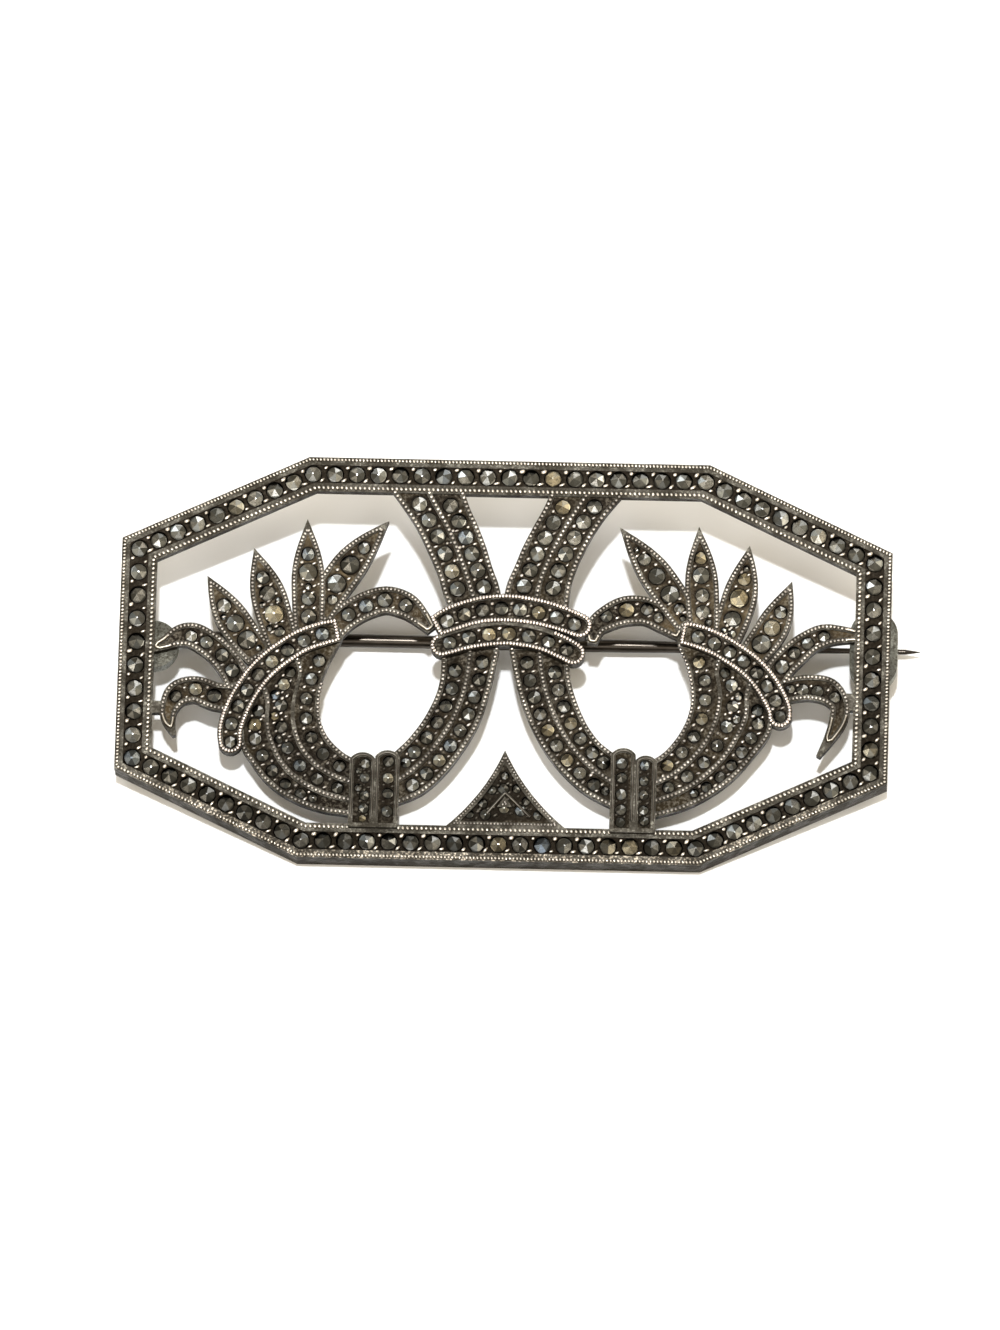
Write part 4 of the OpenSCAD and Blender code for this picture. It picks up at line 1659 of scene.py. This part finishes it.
@dataclass
class OctagonFrame(SetPart):
    """The long octagonal frame, with a line of millgrain near each edge."""

    outer: Rim = Rim(0.125, 0.27, 0.415, 1.4, 0.35, tone=BeadTone.FRAME)
    inner: Rim = Rim(0.145, 0.345, 0.385, 1.4, 0.45, tone=BeadTone.FRAME)

    def edge_rims(self) -> None:
        """One line outside the channel and one inside it."""
        loops = [loop for channel in self.channels for loop in channel.loops]
        loops.sort(key=lambda loop: -np.ptp(loop[:, 0]))
        for loop, rim, side in zip(loops, (self.outer, self.inner), ("outer", "inner")):
            self.work_lines(f"{side}_rim", self.kit.lines.along(loop, self.level, rim), rim)


@dataclass
class CurledLeaves(SetPart):
    """The curled leaves, whose tips are smooth metal beyond the last stone."""

    SHORTEST = 4

    reach: float = 1.75
    tip_rim: Rim = Rim(0.15, clear=0.10, tone=BeadTone.TIP, style=RimStyle.SMOOTH)

    def edge_rims(self) -> None:
        """Works the rims beside the stones with millgrain and their tips with wire."""
        stones = RimLines.tree((s.x, s.y, 0.0) for s in self.stones)
        runs: dict[bool, list[np.ndarray]] = {True: [], False: []}
        for line in self.rim_lines():
            near = np.array([stones.find((x, y, 0.0))[2] < self.reach for x, y in line])
            for run, beside in split_by(line, near):
                if len(run) > self.SHORTEST:
                    runs[beside].append(run)
        self.work_lines("rims", runs[True], self.rim)
        self.work_lines("tips", runs[False], self.tip_rim)


@dataclass
class Triangle(SetPart):
    """The triangle on the lower bar, with a low ridge in its middle."""

    ridge: tuple[Span, ...] = ((-0.95, -12.0), (0.4, -10.35), (2.3, -12.2))
    ridge_rim: Rim = Rim(0.13, sink=0.12, tone=BeadTone.DULL, style=RimStyle.SMOOTH)

    def edge_rims(self) -> None:
        """Works the rims and lays the ridge."""
        super().edge_rims()
        self.work_lines("ridge", [np.array(self.ridge)], self.ridge_rim)


@dataclass
class BareMetal:
    """CAD nodes that keep their own shape."""

    nodes: tuple[str, ...]
    metal: Metal

    def dress(self, kit: Kit) -> None:
        """Gives the nodes their finish.

        Args:
            kit: What it works with.
        """
        for name in self.nodes:
            kit.nodes[name].material_slots[0].material = kit.finishes.metals[self.metal]
            log.info("%s: dressed", name)


@dataclass
class PiercedPlate(BareMetal):
    """The pierced silver with everything soldered to it."""

    nodes: tuple[str, ...] = ("silver_openwork",)
    metal: Metal = Metal.SILVER


@dataclass
class Pin(BareMetal):
    """The pin and its rivet, of drawn steel."""

    nodes: tuple[str, ...] = ("pin_stem", "hinge_rivet")
    metal: Metal = Metal.STEEL


@dataclass(frozen=True)
class Spark:
    """A small light that wakes the facets: its direction in degrees, its size, power and colour."""

    azimuth: float
    height: float
    size: float
    watts: float
    colour: Colour = (1.0, 1.0, 1.0)

    @property
    def way(self) -> Vector:
        """Direction towards the light."""
        turn, rise = math.radians(self.azimuth), math.radians(self.height)
        return Vector((math.cos(turn) * math.cos(rise), math.sin(turn) * math.cos(rise), math.sin(rise)))


@dataclass
class Studio:
    """Floor, lights and camera."""

    floor_size: float = 3.0
    tip: float = -17.0
    roll: Span = (-1.398, -1.681)
    distance: float = 1500.0
    scale: float = 13.305
    centre: Span = (3.866, 4.585)
    picture_width: float = 1000.0
    sensor: float = 36.0
    clip: Span = (0.01, 20.0)
    key_strength: float = 2.9
    key_angle: float = 3.0
    key_tilt: float = 4.5
    key_colour: Colour = (0.94, 0.97, 1.0)
    sky: Colour = (1.0, 0.87, 0.67)
    sky_top: float = 0.80
    sky_side: float = 0.42
    sky_rise: Span = (0.15, 0.95)
    spark_distance: float = 0.6
    sparks: tuple[Spark, ...] = (
        Spark(20, 38, 0.20, 0.5, (1.0, 0.93, 0.78)), Spark(75, 30, 0.24, 0.6),
        Spark(140, 42, 0.20, 0.5, (0.85, 0.93, 1.0)), Spark(205, 34, 0.20, 0.4, (1.0, 0.95, 0.85)),
        Spark(262, 48, 0.22, 0.5), Spark(320, 32, 0.20, 0.5, (1.0, 0.90, 0.72)))

    def build(self, kit: Kit) -> None:
        """Builds the stage.

        Args:
            kit: What it works with.
        """
        self.lay_floor(kit.finishes.paper)
        self.place_camera(kit.lie)
        self.light()
        self.surround()
        log.info("studio: floor, camera and %d lights", 1 + len(self.sparks))

    def lay_floor(self, paper: Material) -> None:
        """Lays the floor.

        Args:
            paper: Its material.
        """
        half = self.floor_size / 2
        mesh = bpy.data.meshes.new("floor")
        mesh.from_pydata([(-half, -half, 0), (half, -half, 0), (half, half, 0), (-half, half, 0)], [],
                         [(0, 1, 2, 3)])
        mesh.materials.append(paper)
        placed("floor", mesh)

    def place_camera(self, lie: Lie) -> None:
        """Places the camera where the photograph was taken from.

        Args:
            lie: How the front lies.
        """
        turn = (Matrix.Rotation(math.radians(self.tip), 3, "X")
                @ Matrix.Rotation(math.radians(self.roll[0]), 3, "Y")
                @ Matrix.Rotation(math.radians(self.roll[1]), 3, "Z"))
        back = turn.transposed()
        place = back @ Vector((0, 0, self.distance)) + Vector((0, 0, Level.PLATE.top))
        data = bpy.data.cameras.new("camera")
        data.sensor_fit = "HORIZONTAL"
        data.sensor_width = self.sensor
        data.lens = self.scale * self.distance * self.sensor / self.picture_width
        data.shift_x, data.shift_y = (-middle / self.picture_width for middle in self.centre)
        data.clip_start, data.clip_end = self.clip
        camera = placed("camera", data)
        camera.matrix_world = lie.matrix @ (Matrix.Translation(place * MM) @ back.to_4x4())
        bpy.context.scene.camera = camera

    def light(self) -> None:
        """One light overhead and the small ones round it."""
        key = bpy.data.lights.new("key", "SUN")
        key.energy, key.angle, key.color = self.key_strength, math.radians(self.key_angle), self.key_colour
        lamp = placed("key", key)
        lamp.location, lamp.rotation_euler = (0, 0, 1), (math.radians(self.key_tilt), 0, 0)
        for number, spark in enumerate(self.sparks):
            data = bpy.data.lights.new(f"spark_{number}", "AREA")
            data.size, data.energy, data.color = spark.size, spark.watts, spark.colour
            lamp = placed(data.name, data)
            lamp.location = spark.way * self.spark_distance
            lamp.rotation_euler = spark.way.to_track_quat("Z", "Y").to_euler()

    def surround(self) -> None:
        """A soft warm sky that the camera sees as white."""
        world = bpy.data.worlds.new("surround")
        world.use_nodes = True
        world.node_tree.nodes.clear()
        bench = Bench(world.node_tree)
        height = bench.part(bench.node("ShaderNodeTexCoord").outputs["Generated"], 2)
        strength = bench.ramp(height, *self.sky_rise, self.sky_side, self.sky_top)
        lit, seen = (bench.node("ShaderNodeBackground", {"Color": colour, "Strength": power}).outputs[0]
                     for colour, power in ((self.sky, strength), ((1.0, 1.0, 1.0), 1.0)))
        sight = bench.node("ShaderNodeLightPath").outputs["Is Camera Ray"]
        both = bench.node("ShaderNodeMixShader", {0: sight, 1: lit, 2: seen})
        bench.node("ShaderNodeOutputWorld", {"Surface": both.outputs[0]})
        bpy.context.scene.world = world
        bpy.context.scene.view_settings.view_transform = "Standard"


# Stones that only the scene sets: middle x, y and width, read off the photograph

CURL_STONES = (
    (-23.6, 1.45, 1.0), (-22.4, 1.0, 1.0), (-21.2, 0.0, 1.0), (-20.4, -1.2, 1.0),
    (-24.6, -3.3, 0.95), (-23.1, -2.7, 1.0), (-21.7, -3.2, 1.0),
    (-11.8, 3.4, 1.0), (-10.5, 4.1, 1.0), (-9.1, 4.6, 1.05), (-7.5, 4.2, 1.0),
    (24.0, 2.45, 0.95), (22.8, 1.85, 1.0), (21.8, 1.1, 1.0), (20.9, 0.0, 1.0),
    (24.95, -2.3, 0.95), (23.6, -1.9, 1.0), (22.5, -1.8, 1.0),
    (10.65, 4.3, 1.05), (9.1, 4.2, 1.1), (7.6, 3.7, 1.0))
BINDING_STONES = tuple(
    (x, y, 0.8) for x, places in ((-10.15, (-8.4, -9.5, -10.9, -11.9)), (-8.4, (-8.2, -9.5, -10.7, -12.1)),
                                  (10.8, (-8.1, -9.3, -10.4, -11.6)), (9.1, (-8.0, -9.1, -10.4, -11.6)))
    for y in places)
TRIANGLE_STONES = (
    (0.35, -9.0, 0.66), (-0.6, -10.15, 0.74), (1.25, -10.0, 0.74), (-1.25, -11.2, 0.78),
    (2.0, -10.95, 0.72), (0.35, -11.55, 0.86), (-2.25, -12.05, 0.74), (2.9, -12.05, 0.76))


def set_parts() -> list[SetPart]:
    """Lists all the parts with stones.

    Returns:
        The parts, in the order in which they are worked.
    """
    return [
        OctagonFrame("frame", node="frame_stones", tones=(0.0, 0.93), ground_rise=0.35, grain_width=0.34,
                     grain_shear=0.13, grain_tone=BeadTone.FRAME),
        SetPart("knot", Level.KNOT, "tie_stones", tones=(0.35, 1.0),
                rim=Rim(0.17, 0.245, across=1.3, clear=0.4, tone=BeadTone.BRIGHT)),
        SetPart("mouth_rims", Level.MOUTH, "mouth_stones",
                rim=Rim(0.175, 0.24, across=1.25, clear=0.4, tone=BeadTone.BRIGHT)),
        SetPart("bindings", Level.BINDING, extra=BINDING_STONES, fill=(0.5, 0.8), ground_rise=0.15,
                rim=Rim(0.09, 0.2, 0.14, lowest=-12.5, tone=BeadTone.DULL, style=RimStyle.SMOOTH),
                seat_rise=0.03, grain_width=0.2, grain_tone=BeadTone.DULL),
        SetPart("bands", node="band_stones", rim=Rim(0.165, 0.355)),
        SetPart("tails", node="tail_stones", rim=Rim(0.155, 0.32)),
        SetPart("horns", node="horn_stones", rim=Rim(0.15, 0.31)),
        SetPart("leaves", node="leaf_stones", rim=Rim(0.14, 0.29), tones=(0.0, 1.0), fill=(0.5, 1.1),
                ground_tone=GroundTone.LEAF),
        CurledLeaves("curled_leaves", extra=CURL_STONES, rim=Rim(0.14, 0.29), ground_tone=GroundTone.CURL),
        Triangle("triangle", extra=TRIANGLE_STONES, rim=Rim(0.115, 0.25, 0.24), growth=1.0, fill=(0.9, 0.9),
                 grain_width=0.24, grain_reach=1.95, grain_tone=BeadTone.DULL),
    ]


def main() -> None:
    """Builds every sub-assembly in order."""
    logging.basicConfig(level=logging.INFO, format="%(name)s: %(message)s")
    lie = Lie.from_joint(frame["joints"][0])
    nodes = frame["nodes"]
    plate = Plate(nodes["silver_openwork"], lie)
    rose_cut = placed("rose_cut", RoseCut().mesh())
    kit = Kit(plate, lie, RimLines(plate), Workshop(lie), Finishes(lie), nodes, rose_cut)
    Studio().build(kit)
    PiercedPlate().dress(kit)
    Pin().dress(kit)
    for part in set_parts():
        part.build(kit)
    bpy.data.objects.remove(rose_cut)


if __name__ == "__main__":
    main()
